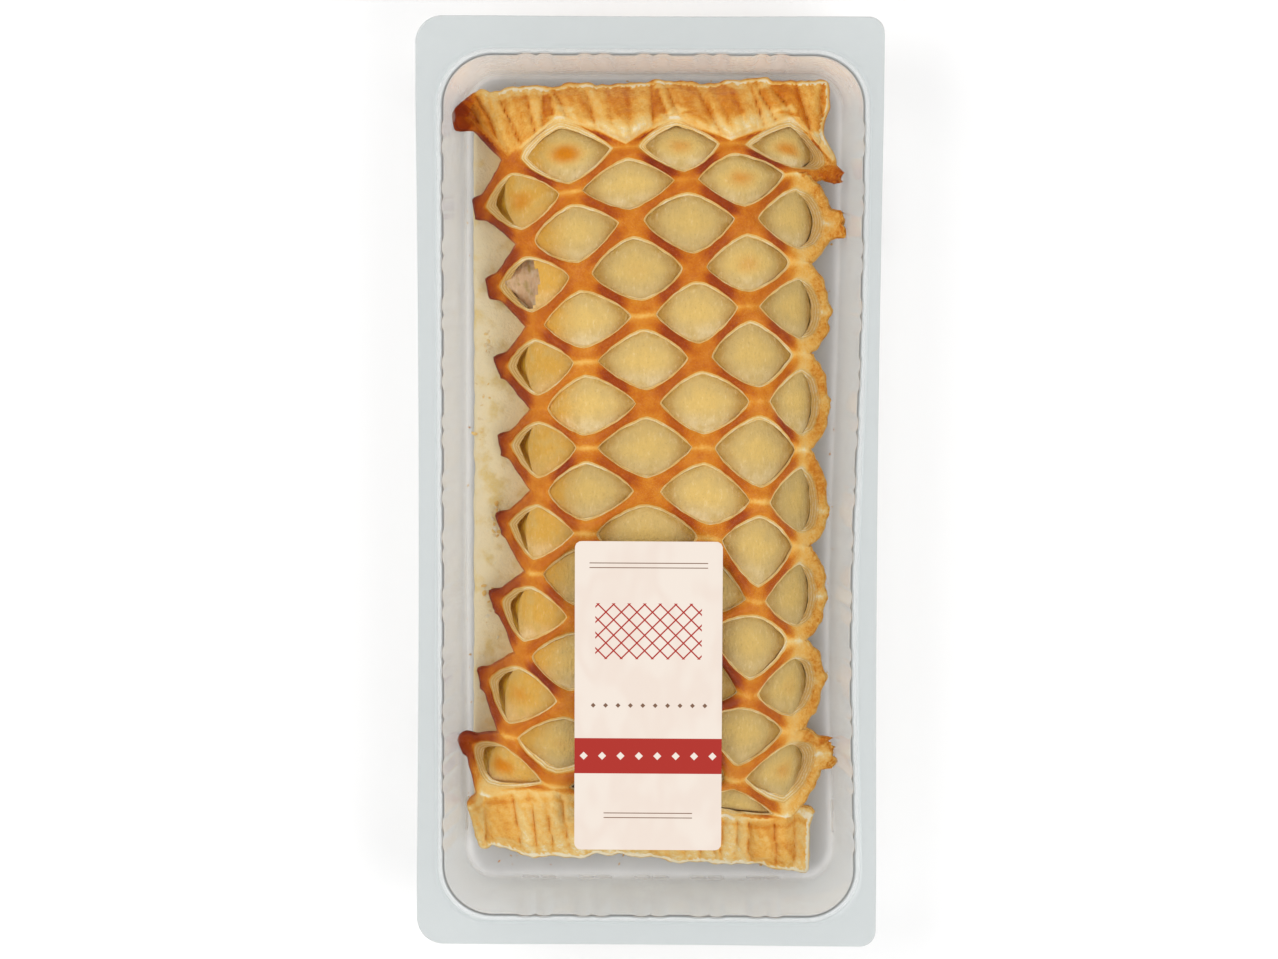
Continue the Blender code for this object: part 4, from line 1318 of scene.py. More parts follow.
def folded(x, y, end, middle_y, depth):
    """Relief and bake of a crimped end's folds at arrays of places."""
    relief = np.zeros(x.shape)
    bake = np.zeros(x.shape)
    drift = waver(x, y, 6.0, 4.0) * FOLD_DRIFT
    lefts = [fold.x + fold.lean * (middle_y - y) + drift for fold in end.folds]
    lefts.append(np.full(x.shape, FOLDS_END))
    for k, fold in enumerate(end.folds):
        width = np.maximum(lefts[k + 1] - lefts[k], LEAST_FOLD)
        part = (x - lefts[k]) / width
        inside = part >= 0
        part = clamp(part)
        crease = bell(np.minimum(part, 1 - part) * width, 0.0, end.crease_half)
        swell = fold.swell * (1 - (2 * part - 1) ** 2) ** FOLD_POWER
        tone = mix(fold.bake, CREASE_BAKE, end.crease_tone * crease)
        if fold.swell > PILLOW_SWELL:
            heart = bell(part, 0.5, HEART_HALF) * rise(depth, 0.3, 0.55)
            pleats = sum(bell(part, middle, PLEAT_HALF) for middle in PLEATS)
            swell = swell - PLEAT_DEPTH * pleats
            tone = tone + HEART_BAKE * heart + PLEAT_BAKE * pleats
            tone = tone - PILLOW_PALENESS * (1 - rise(depth, 0.15, 0.4))
        swell = swell - CREASE_DEPTH * crease
        relief = np.where(inside, swell, relief)
        bake = np.where(inside, tone, bake)
    return relief, bake


def band_grid(end, sizes):
    """Places of a crimped end from its crossings to its edge, their depths and its middle's y."""
    parts = np.linspace(0, 1, sizes.steps + 1)
    runs = []
    for k in range(LAST_LINE):
        along = parts if k == LAST_LINE - 1 else parts[:-1]
        crossings = [sheet_point(line, end.zigzag[line]) for line in (k, k + 1)]
        edges = [sheet_point(line, end.edge_row) for line in (k, k + 1)]
        runs.append((strand_path(*crossings, along), mix(*edges, along[:, None])))
    inner, outer = (np.concatenate(column) for column in zip(*runs))
    depth = np.linspace(0, 1, BAND_ROWS + 1)[:, None]
    grid = mix(inner[None], outer[None], depth[..., None])
    x, y, line = (grid[..., k] for k in range(3))
    if end.side > 0:
        x -= FAR_CORNER_WAIST * bump_at(depth, 0.4, 0.36) * rise(line, 5.9, 7.0)
    y += end.side * waved(x, y, END_EDGE_WAVES) * depth**2
    middle_y = (inner[:, 1].mean() + outer[:, 1].mean()) / 2
    return grid, depth, middle_y


def end_band(shell, end, sizes):
    """Crimped end of the sheet; returns the grids of its places, relief and bake."""
    grid, depth, middle_y = band_grid(end, sizes)
    x, y, line, row = (grid[..., k] for k in range(4))
    past = (end.last_row - row) * end.side
    apart = np.maximum(clamp(end.off(line, row)), rise(past, 0.0, 0.22))
    fold_relief, fold_bake = folded(x, y, end, middle_y, depth)
    beside = rise(apart, 0.06, 0.16)
    fade = np.minimum(rise(depth, 0.0, 0.2), 1 - 0.75 * rise(depth, 0.8, 1.0))
    dip = -0.8 * bump_at(apart, 0.16, 0.1)
    crackle = abs(waver(x, y, 2.4, 7.0)) ** 0.5 - 0.45
    streak = waver(x + 0.5 * y, y * 0.22, 1.5, 8.0)
    relief = fade * (fold_relief * beside + dip + crackle + streak * 0.35 * beside)
    crown = 1 - rise(apart, 0.07, 0.13)
    seam_bake = SEAM_BAKE + side_bake(x, y) - paleness(line, row)
    level = mix(fold_bake, seam_bake + 0.06 * waver(x, y, 9.0, 9.0), crown)
    level = end.tones(level, x, y, depth, apart)
    level += side_bake(x, y) * 0.5 + (crackle * 0.12 + streak * 0.11) * beside
    level = mix(level, seam_bake, 1 - rise(depth, 0.0, 0.06))
    flaky = 0.35 * rise(depth, 0.0, 0.3) + 0.4 * rise(depth, 0.7, 1.0)
    shell.grid(raised(grid, strand_top(grid, relief)), bake=level, flaky=flaky)
    shell.grid(raised(grid, strand_bottom(grid, sizes))[::UNDERSIDE_STEP], bake=UNDER_BAKE)
    return grid, relief, level


def smoothed(ring, window):
    """Closed row of points, each the mean of its neighbours on both sides."""
    total = sum(np.roll(ring, k, axis=0) for k in range(-window, window + 1))
    return total / (2 * window + 1)


class StrandEnd(NamedTuple):
    """End of the strands at a side crossing, in millimetres.

    reach is how far it stands out past the border, full the run on both sides with that reach,
    fade the run over which it ends, and lift the rise of its tip.
    """

    reach: float
    full: float
    fade: float
    lift: float


NO_END = StrandEnd(reach=0.0, full=0.0, fade=1.0, lift=0.0)
LEFT_END = StrandEnd(reach=2.3, full=0.4, fade=4.6, lift=0.0)
LEFT_ENDS = {
    -1: StrandEnd(reach=3.6, full=1.0, fade=4.0, lift=12.0),
    15: StrandEnd(reach=2.8, full=0.8, fade=4.0, lift=5.0),
}
RIGHT_END = StrandEnd(reach=0.6, full=0.2, fade=2.2, lift=0.0)
RIGHT_ENDS = {
    0: StrandEnd(reach=3.4, full=3.4, fade=1.8, lift=7.0),
    2: StrandEnd(reach=3.6, full=2.2, fade=2.6, lift=5.0),
    14: StrandEnd(reach=2.2, full=3.6, fade=1.8, lift=2.0),
}
# Where the left ends are cut off, past their crossings
LEFT_CUT = 1.9
LEFT_CUTS = {-1: 4.2, 15: 3.0}

# The outer border: where the far left tip fades, the widths at the ends and at that tip, the
# reach of a cut and of the tip's slope beside a crossing, all in millimetres, and the bakes
TIP_FADE = (0.5, 8.0)
CORNER_BAKE = 0.55
END_BORDER = 1.3
TIP_BORDER = 1.6
CUT_BESIDE = 5.5
TIP_SLOPE = 0.95
TIP_START = 1.5
TIP_BESIDE = (8.0, 14.0)
NUB_BAKE = 0.29
FLAKY_NUB_BAKE = 0.08
NUB_FULL = 2.0
NUB_DARK = 1.7
FRAYED_BAKE = 0.27


def lattice_mesh(finish, sizes):
    """Lattice sheet with its rows of holes, crimped ends and nubs at the strands' side ends."""
    shell = Shell()
    for line, row in OPEN_CELLS:
        open_cell(shell, line, row, sizes)
    far = end_band(shell, FAR_END, sizes)
    near = end_band(shell, NEAR_END, sizes)
    outer_border(shell, far, near, sizes)
    return shell.make("lattice", finish)


def end_share(away, end):
    """How fully a strand's end stands out at a run away from its crossing."""
    return 1 - rise(away, end.full, end.full + end.fade)


def side_run(nodes, sizes):
    """Crest points and bakes along one side's zigzag, with the reach and lift of its ends."""
    parts = np.arange(sizes.steps) / sizes.steps
    runs = []
    for (start, first), (end, second) in zip(nodes, nodes[1:]):
        size = np.linalg.norm(end[:2] - start[:2])
        at_first = end_share(parts * size, first)
        at_second = end_share((1 - parts) * size, second)
        reach = np.maximum(at_first * first.reach, at_second * second.reach)
        lift = np.maximum(at_first * first.lift, at_second * second.lift)
        runs.append((strand_path(start, end, parts), strand_bake(start, end, parts), reach, lift))
    return [np.concatenate(column) for column in zip(*runs)]


def edge_run(band, side, wide, flaky, nubs=0.0, lift=0.0):
    """Run of the border along one side of a crimped end's grids."""
    grid, relief, level = (values[side] for values in band)
    return grid, relief, level, nubs, lift, wide, flaky


def border_loop(far, near, sizes):
    """Crest all round the sheet with its relief, bake, ends' reach and lift, border, flakiness."""
    left = []
    for row in range(FAR_LAST_ROW, NEAR_LAST_ROW + 1):
        stub = LEFT_ENDS.get(row, LEFT_END) if row % 2 else NO_END
        left.append((sheet_point(row % 2 == 0, row), stub))
    right = []
    for row in range(NEAR_LAST_ROW, FAR_LAST_ROW, -1):
        stub = NO_END if row % 2 else RIGHT_ENDS.get(row, RIGHT_END)
        right.append((sheet_point(LAST_LINE - row % 2, row), stub))
    left_points, left_bake, left_nub, left_lift = side_run(left, sizes)
    right_points, right_bake, right_nub, right_lift = side_run(right, sizes)
    corner = near[0][0, : sizes.steps + 1][::-1][:-1]
    tip_side = np.s_[-2:0:-1, 0]
    tip = LEFT_ENDS[FAR_LAST_ROW]
    past_tip = far[0][tip_side][:, 1] - crossing(0, FAR_LAST_ROW)[1]
    tip_share = 1 - rise(past_tip, *TIP_FADE)
    tip_reach, tip_lift = tip_share * tip.reach, tip_share * tip.lift
    wide_left = sizes.border_left / MM
    wide_right = sizes.border_right / MM
    runs = (
        (left_points, 0.0, left_bake, left_nub, left_lift, wide_left, 0.0),
        (corner, 0.0, CORNER_BAKE, 0.0, 0.0, wide_left, 0.0),
        edge_run(near, np.s_[:-1, 0], END_BORDER, 0.5),
        edge_run(near, -1, END_BORDER, 0.6),
        edge_run(near, np.s_[-2:0:-1, -1], END_BORDER, 0.15),
        (right_points, 0.0, right_bake, right_nub, right_lift, wide_right, 1.0),
        edge_run(far, np.s_[:-1, -1], END_BORDER, 0.25),
        edge_run(far, np.s_[-1, ::-1], END_BORDER, 0.6),
        edge_run(far, tip_side, TIP_BORDER, 0.1, tip_reach, tip_lift),
    )
    columns = zip(*([np.broadcast_to(value, len(run[0])) for value in run[1:]] for run in runs))
    return np.concatenate([run[0] for run in runs]), *map(np.concatenate, columns)


def cut_ends(outer):
    """Cuts the left strands' ends off, each at its own slant, and slopes the far left corner."""
    for row in range(FAR_LAST_ROW, NEAR_LAST_ROW, 2):
        node = crossing(0, row)
        luck = LUCK[0, row + 8]
        beside = (abs(outer[:, 1] - node[1]) < CUT_BESIDE) & (outer[:, 0] < node[0])
        slant = (0.15 + 0.35 * luck[0]) * (node[1] - outer[:, 1])
        teeth = waver(outer[:, 0], outer[:, 1], 1.5, 8.0) * (0.2 + 0.8 * luck[2] ** 2)
        cut = node[0] - LEFT_CUTS.get(row, LEFT_CUT) - 0.5 * luck[1] + slant + teeth
        outer[:, 0] = np.where(beside, np.maximum(outer[:, 0], cut), outer[:, 0])
    corner = crossing(0, FAR_LAST_ROW)
    above_tip = np.maximum(outer[:, 1] - corner[1] - TIP_START, 0.0)
    beside_x, beside_y = TIP_BESIDE
    beside = (abs(outer[:, 1] - corner[1]) < beside_y) & (outer[:, 0] < corner[0] + beside_x)
    sloped = corner[0] - LEFT_CUTS[FAR_LAST_ROW] + TIP_SLOPE * above_tip
    outer[:, 0] = np.where(beside, np.maximum(outer[:, 0], sloped), outer[:, 0])


def outer_border(shell, far, near, sizes):
    """Closes the sheet's outer border with a rounded side, widened at the strands' ends."""
    loop, relief, bake, nubs, lift, wide, flaky = border_loop(far, near, sizes)
    soft = smoothed(loop, 2)
    along = smoothed(np.roll(soft, -1, axis=0) - np.roll(soft, 1, axis=0), 2)[:, :2]
    along /= np.linalg.norm(along, axis=1)[:, None]
    out = np.stack((along[:, 1], -along[:, 0]), axis=-1)
    x, y = loop[:, 0], loop[:, 1]
    rough = smoothed(flaky, 4)
    nub = clamp(nubs / NUB_FULL)
    wobble = waver(x, y, 3.0, 4.0) * (0.25 + 0.6 * rough)
    wobble += waver(x, y, 1.6, 7.0) * 1.3 * rough * nub
    reach = smoothed(wide, 6) + nubs + wobble
    outer = soft.copy()
    outer[:, :2] += out * reach[:, None]
    cut_ends(outer)
    points, shares, layers = border_rows(loop, outer, relief, lift, sizes)
    px, py, pz = (points[..., k] for k in range(3))
    ruffle = waver(px, pz * 3 + py, 1.3, 6.0) * 0.35 * rise(shares, 0.5, 0.9)
    points[..., :2] += out[None] * (ruffle * rough)[..., None]
    px += waver(pz * 0.5, py, 1.1, 5.0) * 3.6 * nub * rough * rise(shares, 0.5, 1.0)
    tip_dark = clamp(nubs / NUB_DARK) * mix(0.45, 1.0, rise(shares, 0.0, 0.7))
    level = bake + side_bake(px, py) + tip_dark * mix(NUB_BAKE, FLAKY_NUB_BAKE, rough)
    level -= paleness(loop[:, 2], loop[:, 3]) * (1 - shares.clip(0, 1))
    pale = rise(shares + ruffle * 0.6, 0.4, 0.95) * rough * (1 - 0.8 * nub)
    level = mix(level, FRAYED_BAKE, 0.7 * pale)
    flakes = rough * (0.5 + 0.5 * rise(shares, 0.0, 0.6))
    shell.grid(points, closed=True, bake=level, layer=layers, flaky=flakes)


# The cover's pillows: where they end, with the hole's edge as 1, the half-width of a toasted spot
# in lines and rows, and the least heights of the cover and of the filling above LIFT
PILLOW_EDGE = 1.45
TOAST_HALF = 0.28
COVER_ABOVE_BASE = 1.0
FILLING_ABOVE_BASE = 1.3


def sheet_below(line, row, sizes):
    """Height of the flat sheet right under the lattice, above the tray's floor."""
    past_end = np.maximum(0.0, np.maximum(-row, row - LAST_FREE_ROW))
    top = dome(line, row)
    thick = np.minimum(sizes.strand / MM, top - LIFT)
    return top - thick - COVER_CLEARANCE - END_CLEARANCE * past_end


def cover_shape(line, row, sizes):
    """Heights and marks of the cover sheet over arrays of lines and rows."""
    flat = sheet_below(line, row, sizes)
    cell_line, cell_row = cell_of(line, row)
    is_open = (
        (cell_line > 0)
        & (cell_line < LAST_LINE)
        & (cell_row >= FIRST_OPEN_ROW)
        & (cell_row <= LAST_OPEN_ROW)
    )
    reaches = np.ones((*line.shape, 4))
    toast = np.zeros(line.shape)
    tone = np.zeros(line.shape)
    across = line - cell_line
    along = row - cell_row
    heart = np.exp(-((across / TOAST_HALF) ** 2) - (along / TOAST_HALF) ** 2)
    for k, j in OPEN_CELLS:
        here = (cell_line == k) & (cell_row == j)
        reaches[here] = cell_reaches(k, j)[1]
        toast = np.where(here, heart * TOASTED_CELLS.get((k, j), 0.0), toast)
        tone = np.where(here, 2 * LUCK[2 * k, j + 10, 1] - 1, tone)
    to_tip = abs(across) / np.where(across < 0, reaches[..., 0], reaches[..., 2])
    to_blunt = abs(along) / np.where(along < 0, reaches[..., 1], reaches[..., 3])
    edge = to_tip**HOLE_CURVE + to_blunt ** (1 / HOLE_ROUNDNESS)
    bulge = np.where(is_open, (1 - clamp(edge / PILLOW_EDGE) ** 3) ** 0.5, 0.0)
    height = np.maximum(flat, LIFT + COVER_ABOVE_BASE) + sizes.pillow / MM * bulge
    marks = {
        "middle": np.where(is_open, 1 - clamp(edge) ** 0.6, 0.0),
        "toast": toast,
        "golden": 1 - rise(line, 1.35, 2.0),
        "tone": tone,
        # Where the painted shade towards the holes' tips falls
        "tip": rise(to_tip + 0.25 * to_blunt, 0.5, 1.05) * is_open,
        "low": rise(along, 0.1, 0.55) * np.where(is_open, 0.4 + 0.6 * clamp(tone + 0.5), 0.0),
    }
    return height, marks


# The cover's skirt: its rows, and how far it runs out below in millimetres, at the side
# crossings and between them
SKIRT = 6
LEFT_FLARE = (0.6, 7.0)
RIGHT_FLARE = (0.5, 1.8)
END_FLARE = 0.9
# Points of the cover for each line and row, and of the filling across and along
POINTS_A_LINE = 17
POINTS_A_ROW = 13
FILLING_POINTS = (72, 150)
FILLING_BULGE = 10.0


def at_nodes(row, first):
    """1 at the rows of the side crossings, every second one from the first, and 0 between."""
    return np.cos(math.pi * (row - first) / 2) ** 2


def drawn_in(line, row):
    """Lines pulled in under the strands where the lattice's sides run inwards."""
    left = mix(0.2, 1.0, at_nodes(row, 1))
    right = mix(0.25, 1.0, at_nodes(row, 0))
    line = np.where(line < 1, 1 - (1 - line) * left, line)
    last = LAST_LINE - 1
    return np.where(line > last, last + (line - last) * right, line)


def skirted(rows, columns):
    """Grid with a skirt round it: its picks, the side each lies on, and its share of the drop."""
    out = []
    near = []
    for count in (rows, columns):
        index = np.arange(-SKIRT, count + SKIRT)
        near.append(clamp(index, 0, count - 1).astype(int))
        out.append(index - near[-1])
    out_y, out_x = np.meshgrid(*out, indexing="ij")
    down = np.maximum(abs(out_y), abs(out_x)) / SKIRT
    return np.ix_(*near), np.sign(out_x), -np.sign(out_y), down


def cover_mesh(finish, sizes):
    """Cover sheet over the filling, with a pillow in each cell and a tear on its left side."""
    lines = np.arange(COVER_LINES[0], COVER_LINES[1] + 0.01, 1 / POINTS_A_LINE)
    rows = np.arange(COVER_ROWS[0], COVER_ROWS[1] + 0.01, 1 / POINTS_A_ROW)
    row, line = np.meshgrid(rows, lines, indexing="ij")
    line = drawn_in(line, row)
    x, y = place_at(line, row)
    height, marks = cover_shape(line, row, sizes)
    height = WALL + height + waved(x, y, COVER_WAVES)
    pick, side_x, side_y, down = skirted(len(rows), len(lines))
    left_flare = mix(*LEFT_FLARE, at_nodes(row[pick], 1))
    right_flare = mix(*RIGHT_FLARE, at_nodes(row[pick], 0))
    flare = np.where(side_x < 0, left_flare, np.where(side_x > 0, right_flare, END_FLARE))
    # The left flank drops at once and then runs out under the strands
    spread = np.where(side_x < 0, down**1.6, np.sin(down * math.pi / 2))
    drop = np.where(side_x < 0, down**0.55, down)
    layers = []
    for inside in (0.0, sizes.cover / MM):
        reach = np.where(down > 0, spread * flare - inside, 0.0)
        px = x[pick] + side_x * reach
        py = y[pick] + side_y * np.minimum(reach, END_FLARE)
        layers.append(np.stack((px, py, mix(height[pick] - inside, WALL + LIFT, drop)), axis=-1))
    top = layers[0]
    far_x = (top[..., 0] - TEAR_PLACE[0]) / TEAR_RADII[0]
    far_y = (top[..., 1] - TEAR_PLACE[1]) / TEAR_RADII[1]
    gone = np.hypot(far_x, far_y) + waver(top[..., 0], top[..., 1], 2.5, 3.0) * 0.15 < 1.0
    keep = ~(gone[:-1, :-1] | gone[1:, :-1] | gone[:-1, 1:] | gone[1:, 1:])
    marks = {name: value[pick] * (1 - down) for name, value in marks.items()}
    marks["skirt"] = down
    marks["side"] = down * (side_x < 0)
    shell = Shell()
    for layer in layers:
        shell.grid(layer, keep=keep, **marks)
    close_rims(shell, keep, top.shape[1], top.shape[0] * top.shape[1])
    return shell.make("cover", finish)


def close_rims(shell, keep, columns, offset):
    """Faces between the upper and the lower grid wherever the kept part ends."""
    padded = np.pad(keep, 1)
    faces = []
    for j, i in np.argwhere(keep):
        corner = j * columns + i
        sides = (
            (padded[j, i + 1], corner, corner + 1),
            (padded[j + 2, i + 1], corner + columns, corner + columns + 1),
            (padded[j + 1, i], corner, corner + columns),
            (padded[j + 1, i + 2], corner + 1, corner + columns + 1),
        )
        for beside, a, b in sides:
            if not beside:
                faces.append((a, b, b + offset, a + offset))
    shell.faces.append(np.array(faces))


def filling_mesh(finish, sizes):
    """Filling, which runs the whole length under the cover and bulges at the tear."""
    across, along = FILLING_POINTS
    row, line = np.meshgrid(
        np.linspace(*CORE_ROWS, along), np.linspace(*CORE_LINES, across), indexing="ij"
    )
    line = drawn_in(line, row)
    x, y = place_at(line, row)
    under_cover = sheet_below(line, row, sizes) - sizes.cover / MM
    height = WALL + np.maximum(under_cover, LIFT + FILLING_ABOVE_BASE) - 3 * GAP
    height += waved(x, y, FILLING_WAVES)
    pick, side_x, _, down = skirted(along, across)
    left = side_x < 0
    far = (y[pick] - TEAR_PLACE[1]) / (TEAR_RADII[1] * 0.8)
    bulge = left * FILLING_BULGE * np.exp(-(far**2)) * np.sin(clamp(down * 1.1) * math.pi * 0.75)
    lump = waver(x[pick] + 9 * down, y[pick], 2.2, 2.0) * 0.5 * left
    pz = mix(height[pick], WALL + LIFT, down**1.6) + lump * np.sin(down * math.pi)
    points = np.stack((x[pick] - bulge, y[pick], pz), axis=-1)
    shell = Shell()
    shell.grid(points)
    rim = np.concatenate((points[0], points[1:, -1], points[-1, -2::-1], points[-2:0:-1, 0]))
    centre = np.broadcast_to(rim.mean(axis=0), rim.shape)
    shell.grid(np.stack((rim, mix(rim, centre, 0.999))), closed=True)
    return shell.make("filling", finish, merge=0.05)


# The bottom sheet, in millimetres: how far its right side is drawn in, its sides' inset, its
# outline's power and points, its side and its waved top as pairs of spread and height, and the
# run along x over which painted light makes it paler towards the lattice, lifting the shade
# that the lattice casts on it
BASE_DRAWN_IN = 4.0
BASE_INSET = 0.6
BASE_POWER = 2 / 26
BASE_TURNS = 420
BASE_SIDE = ((0.0, GAP), (0.97, GAP), (1.0, GAP + 0.6), (1.0, 3.0), (0.997, 3.7))
BASE_ROUND = tuple((1 - 0.0085 * k * k, 4.3) for k in range(2, 11))
BASE_TOP_RINGS = ((0.985, 4.15), *BASE_ROUND, (0.0, 4.3))
BASE_FILL_LIGHT = (-58.0, -49.0)


def base_mesh(finish):
    """Bottom sheet, wider than the lattice on its left side, with a ragged edge."""
    low, high = (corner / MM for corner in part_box("pastry_base"))
    high.x -= BASE_DRAWN_IN
    half_x = (high.x - low.x) / 2 - BASE_INSET
    half_y = (high.y - low.y) / 2 - BASE_INSET
    centre_x = (high.x + low.x) / 2
    centre_y = (high.y + low.y) / 2
    around = []
    for i in range(BASE_TURNS):
        angle = 2 * math.pi * i / BASE_TURNS
        x = math.copysign(abs(math.cos(angle)) ** BASE_POWER, math.cos(angle)) * half_x
        y = math.copysign(abs(math.sin(angle)) ** BASE_POWER, math.sin(angle)) * half_y
        around.append((centre_x + x, centre_y + y))
    around = resampled(np.array(around), 1.0)
    ragged = waver(around[:, 0], around[:, 1], 5.0, 1.0) * 0.5
    middle = np.array((centre_x, centre_y))
    outward = around - middle
    inset = BASE_INSET + ragged[:, None]
    around -= outward / np.linalg.norm(outward, axis=1)[:, None] * inset
    rings = [raised(mix(middle, around, spread), WALL + height) for spread, height in BASE_SIDE]
    for spread, height in BASE_TOP_RINGS:
        place = mix(middle, around, spread)
        wave = waved(place[:, 0], place[:, 1], BASE_WAVES)
        rings.append(raised(place, WALL + height + wave))
    rings = np.array(rings)
    shell = Shell()
    # The inner mark says where the painted light beside the lattice starts and is full
    shell.grid(rings, closed=True, inner=rise(rings[..., 0], *BASE_FILL_LIGHT))
    return shell.make("base_sheet", finish, merge=0.02)


def resampled(outline, pitch):
    """Closed outline with its points about a pitch apart."""
    closed = np.concatenate((outline, outline[:1]))
    steps = np.linalg.norm(np.diff(closed, axis=0), axis=1)
    reach = np.concatenate(((0.0,), np.cumsum(steps)))
    count = int(reach[-1] / pitch)
    stops = np.linspace(0, reach[-1], count, endpoint=False)
    return np.stack([np.interp(stops, reach, closed[:, k]) for k in range(2)], axis=-1)


def flute_depths(outline):
    """Depth share of the flutes, which come in pairs, at each point of the cavity's outline."""
    low = np.array((CAVITY_LEFT, CAVITY_NEAR))
    high = np.array((CAVITY_RIGHT, CAVITY_FAR))
    offsets = outline - (low + high) / 2
    straight = abs(offsets) < (high - low) / 2 - CAVITY_CORNER
    depth = np.zeros(len(outline))
    for axis, pairs in ((1, PAIRS_ALONG_SIDE), (0, PAIRS_ALONG_END)):
        for pair in range(pairs):
            for flute in (-0.5, 0.5):
                middle = (pair - (pairs - 1) / 2) * FLUTE_PAIR_PITCH + flute * FLUTE_APART
                away = abs(offsets[:, axis] - middle) / FLUTE_HALF_WIDTH
                here = straight[:, axis] & (away < 1)
                depth = np.where(here, np.sqrt(clamp(1 - away**2)), depth)
    return depth


def corner_arcs(low, high, radius, turns):
    """Points round the four corners of a rectangle, corner by corner, and their directions."""
    for x, y, start in (
        (high[0] - radius, low[1] + radius, -90),
        (high[0] - radius, high[1] - radius, 0),
        (low[0] + radius, high[1] - radius, 90),
        (low[0] + radius, low[1] + radius, 180),
    ):
        angles = [math.radians(start + 90 * i / turns) for i in range(turns + 1)]
        outs = np.array([(math.cos(angle), math.sin(angle)) for angle in angles])
        yield np.array((x, y)) + radius * outs, outs


def cavity_outline(pitch):
    """Outline of the tray's cavity at its mouth, with its outward directions."""
    low = CAVITY_LEFT, CAVITY_NEAR
    high = CAVITY_RIGHT, CAVITY_FAR
    arcs = list(corner_arcs(low, high, CAVITY_CORNER, CAVITY_TURNS))
    points = []
    outs = []
    for k, (arc, arc_outs) in enumerate(arcs):
        begin, end = arc[-1], arcs[(k + 1) % 4][0][0]
        count = int(np.linalg.norm(end - begin) / pitch)
        points += [*arc, *(mix(begin, end, i / count) for i in range(1, count))]
        outs += [*arc_outs, *(arc_outs[-1] for _ in range(1, count))]
    points = np.array(points)
    bow = CAVITY_BOW * np.exp(-(((points[:, 1] - CAVITY_BOW_Y) / CAVITY_BOW_RUN) ** 2))
    points[:, 0] -= bow * rise(points[:, 0], 0.0, CAVITY_RIGHT)
    return points, np.array(outs)


def flange_edge(outline, outs, box):
    """Points on the flange's edge beside each point of the cavity's outline."""
    low, high = (np.array(corner / MM)[:2] for corner in box)
    edge = []
    for place, out in zip(outline, outs):
        along = (place - low) / (high - low)
        bow = FLANGE_BOWS * (4 * along * (1 - along))[::-1]
        inner_low, inner_high = low + bow, high - bow
        centre = (inner_low + inner_high) / 2
        half = (inner_high - inner_low) / 2
        place = place - centre
        if abs(out).max() > STRAIGHT_OUT:
            target = np.where(abs(out) > 0.5, np.sign(out) * half, place)
            target = np.clip(target, -half, half)
        else:
            cut = FLANGE_CORNER_LEFT if out[0] < 0 else FLANGE_CORNER_RIGHT
            target = np.sign(out) * (half - cut) + out * cut
        edge.append(target + centre)
    return np.array(edge)


def tray_rings(outline, outs, flutes, pack):
    """Rings of the tray's inside with their outline, grouped by the part that they belong to."""
    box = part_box("tray")
    top = (box[1] / MM).z
    sheet = pack.sheet / MM
    depth = pack.flute / MM
    fillet = pack.fillet / MM
    edge = flange_edge(outline, outs, box)
    middle = np.broadcast_to(outline.mean(axis=0), outline.shape)
    start = outline + outs * RIM_ROUND * 2
    wall_top = top - RIM_ROUND

    def ring(inset, height, flute=0.0):
        return raised(outline - outs * inset + outs * flutes * flute, height)

    floor = [raised(middle, sheet), ring(WALL_DRAFT + fillet * 3, sheet)]
    for i in range(FILLET_STEPS + 1):
        turn = math.pi / 2 * i / FILLET_STEPS
        inset = WALL_DRAFT + fillet * (1 - math.sin(turn))
        floor.append(ring(inset, sheet + fillet * (1 - math.cos(turn))))
    wall = []
    for i in range(1, WALL_STEPS + 1):
        part = i / WALL_STEPS
        height = mix(sheet + fillet, wall_top - WALL_END_DROP, part)
        wall.append(ring(mix(WALL_DRAFT, 0.0, part), height, depth * rise(part, 0.05, 0.8)))
    rim = [ring(RIM_FOOT[0], wall_top - RIM_FOOT[1], depth)]
    for i in range(RIM_STEPS + 1):
        turn = math.pi / 2 * i / RIM_STEPS
        inset = -RIM_ROUND * (1 - math.cos(turn)) * RIM_SPREAD - RIM_INSET
        flute = depth * (1 - i / RIM_STEPS)
        rim.append(ring(inset, wall_top + RIM_ROUND * math.sin(turn), flute))
    flange = [ring(-RIM_ROUND * FLANGE_START[0], top - FLANGE_START[1])]
    flange += [raised(mix(start, edge, part), top - drop) for part, drop in FLANGE_PROFILE]
    return floor, wall, rim, flange


def tray_mesh(finish, pack):
    """Clear tray: floor, fluted walls, rounded rim and flange, as one thin closed sheet."""
    outline, outs = cavity_outline(TRAY_PITCH)
    flutes = flute_depths(outline)[:, None]
    parts = tray_rings(outline, outs, flutes, pack)
    inner = np.array([ring for rings in parts for ring in rings])
    rim_start = len(parts[0]) + len(parts[1])
    rim_end = rim_start + len(parts[2])
    outer = inner + sheet_normals(inner) * (pack.sheet / MM)
    outer[..., 2] = np.maximum(outer[..., 2], 0.0)
    count = np.arange(len(inner))[:, None]
    # Where the painted warm light on the far wall falls
    far = rise(outline[:, 1], *FAR_WALL)
    glints = GLINT * flutes.T * (outline[:, 1] < GLINT_END)
    marks = {
        # The ring with the painted dark line under the rim
        "line": np.where(count == rim_start + RIM_SHADE_LINE_RING, 1.0, 0.0),
        "wall": np.where(count >= len(parts[0]), 1.0, 0.0),
        "far": np.where((count >= FAR_LIGHT_RING) & (count < rim_start), far, 0.0),
        "shine": np.where((count > rim_start + 1) & (count <= rim_end + 1), 1.0, 0.0),
        "brim": np.where(count > rim_end, 1.0, 0.0),
        "glint": np.where(count == GLINT_RING, glints, 0.0),
    }
    shell = Shell()
    shell.grid(inner, closed=True, **marks)
    shell.grid(outer, closed=True, **marks)
    shell.grid(np.stack((inner[-1], outer[-1])), closed=True, brim=1.0)
    return shell.make("tray_shell", finish, smooth_angle=60, merge=0.002)


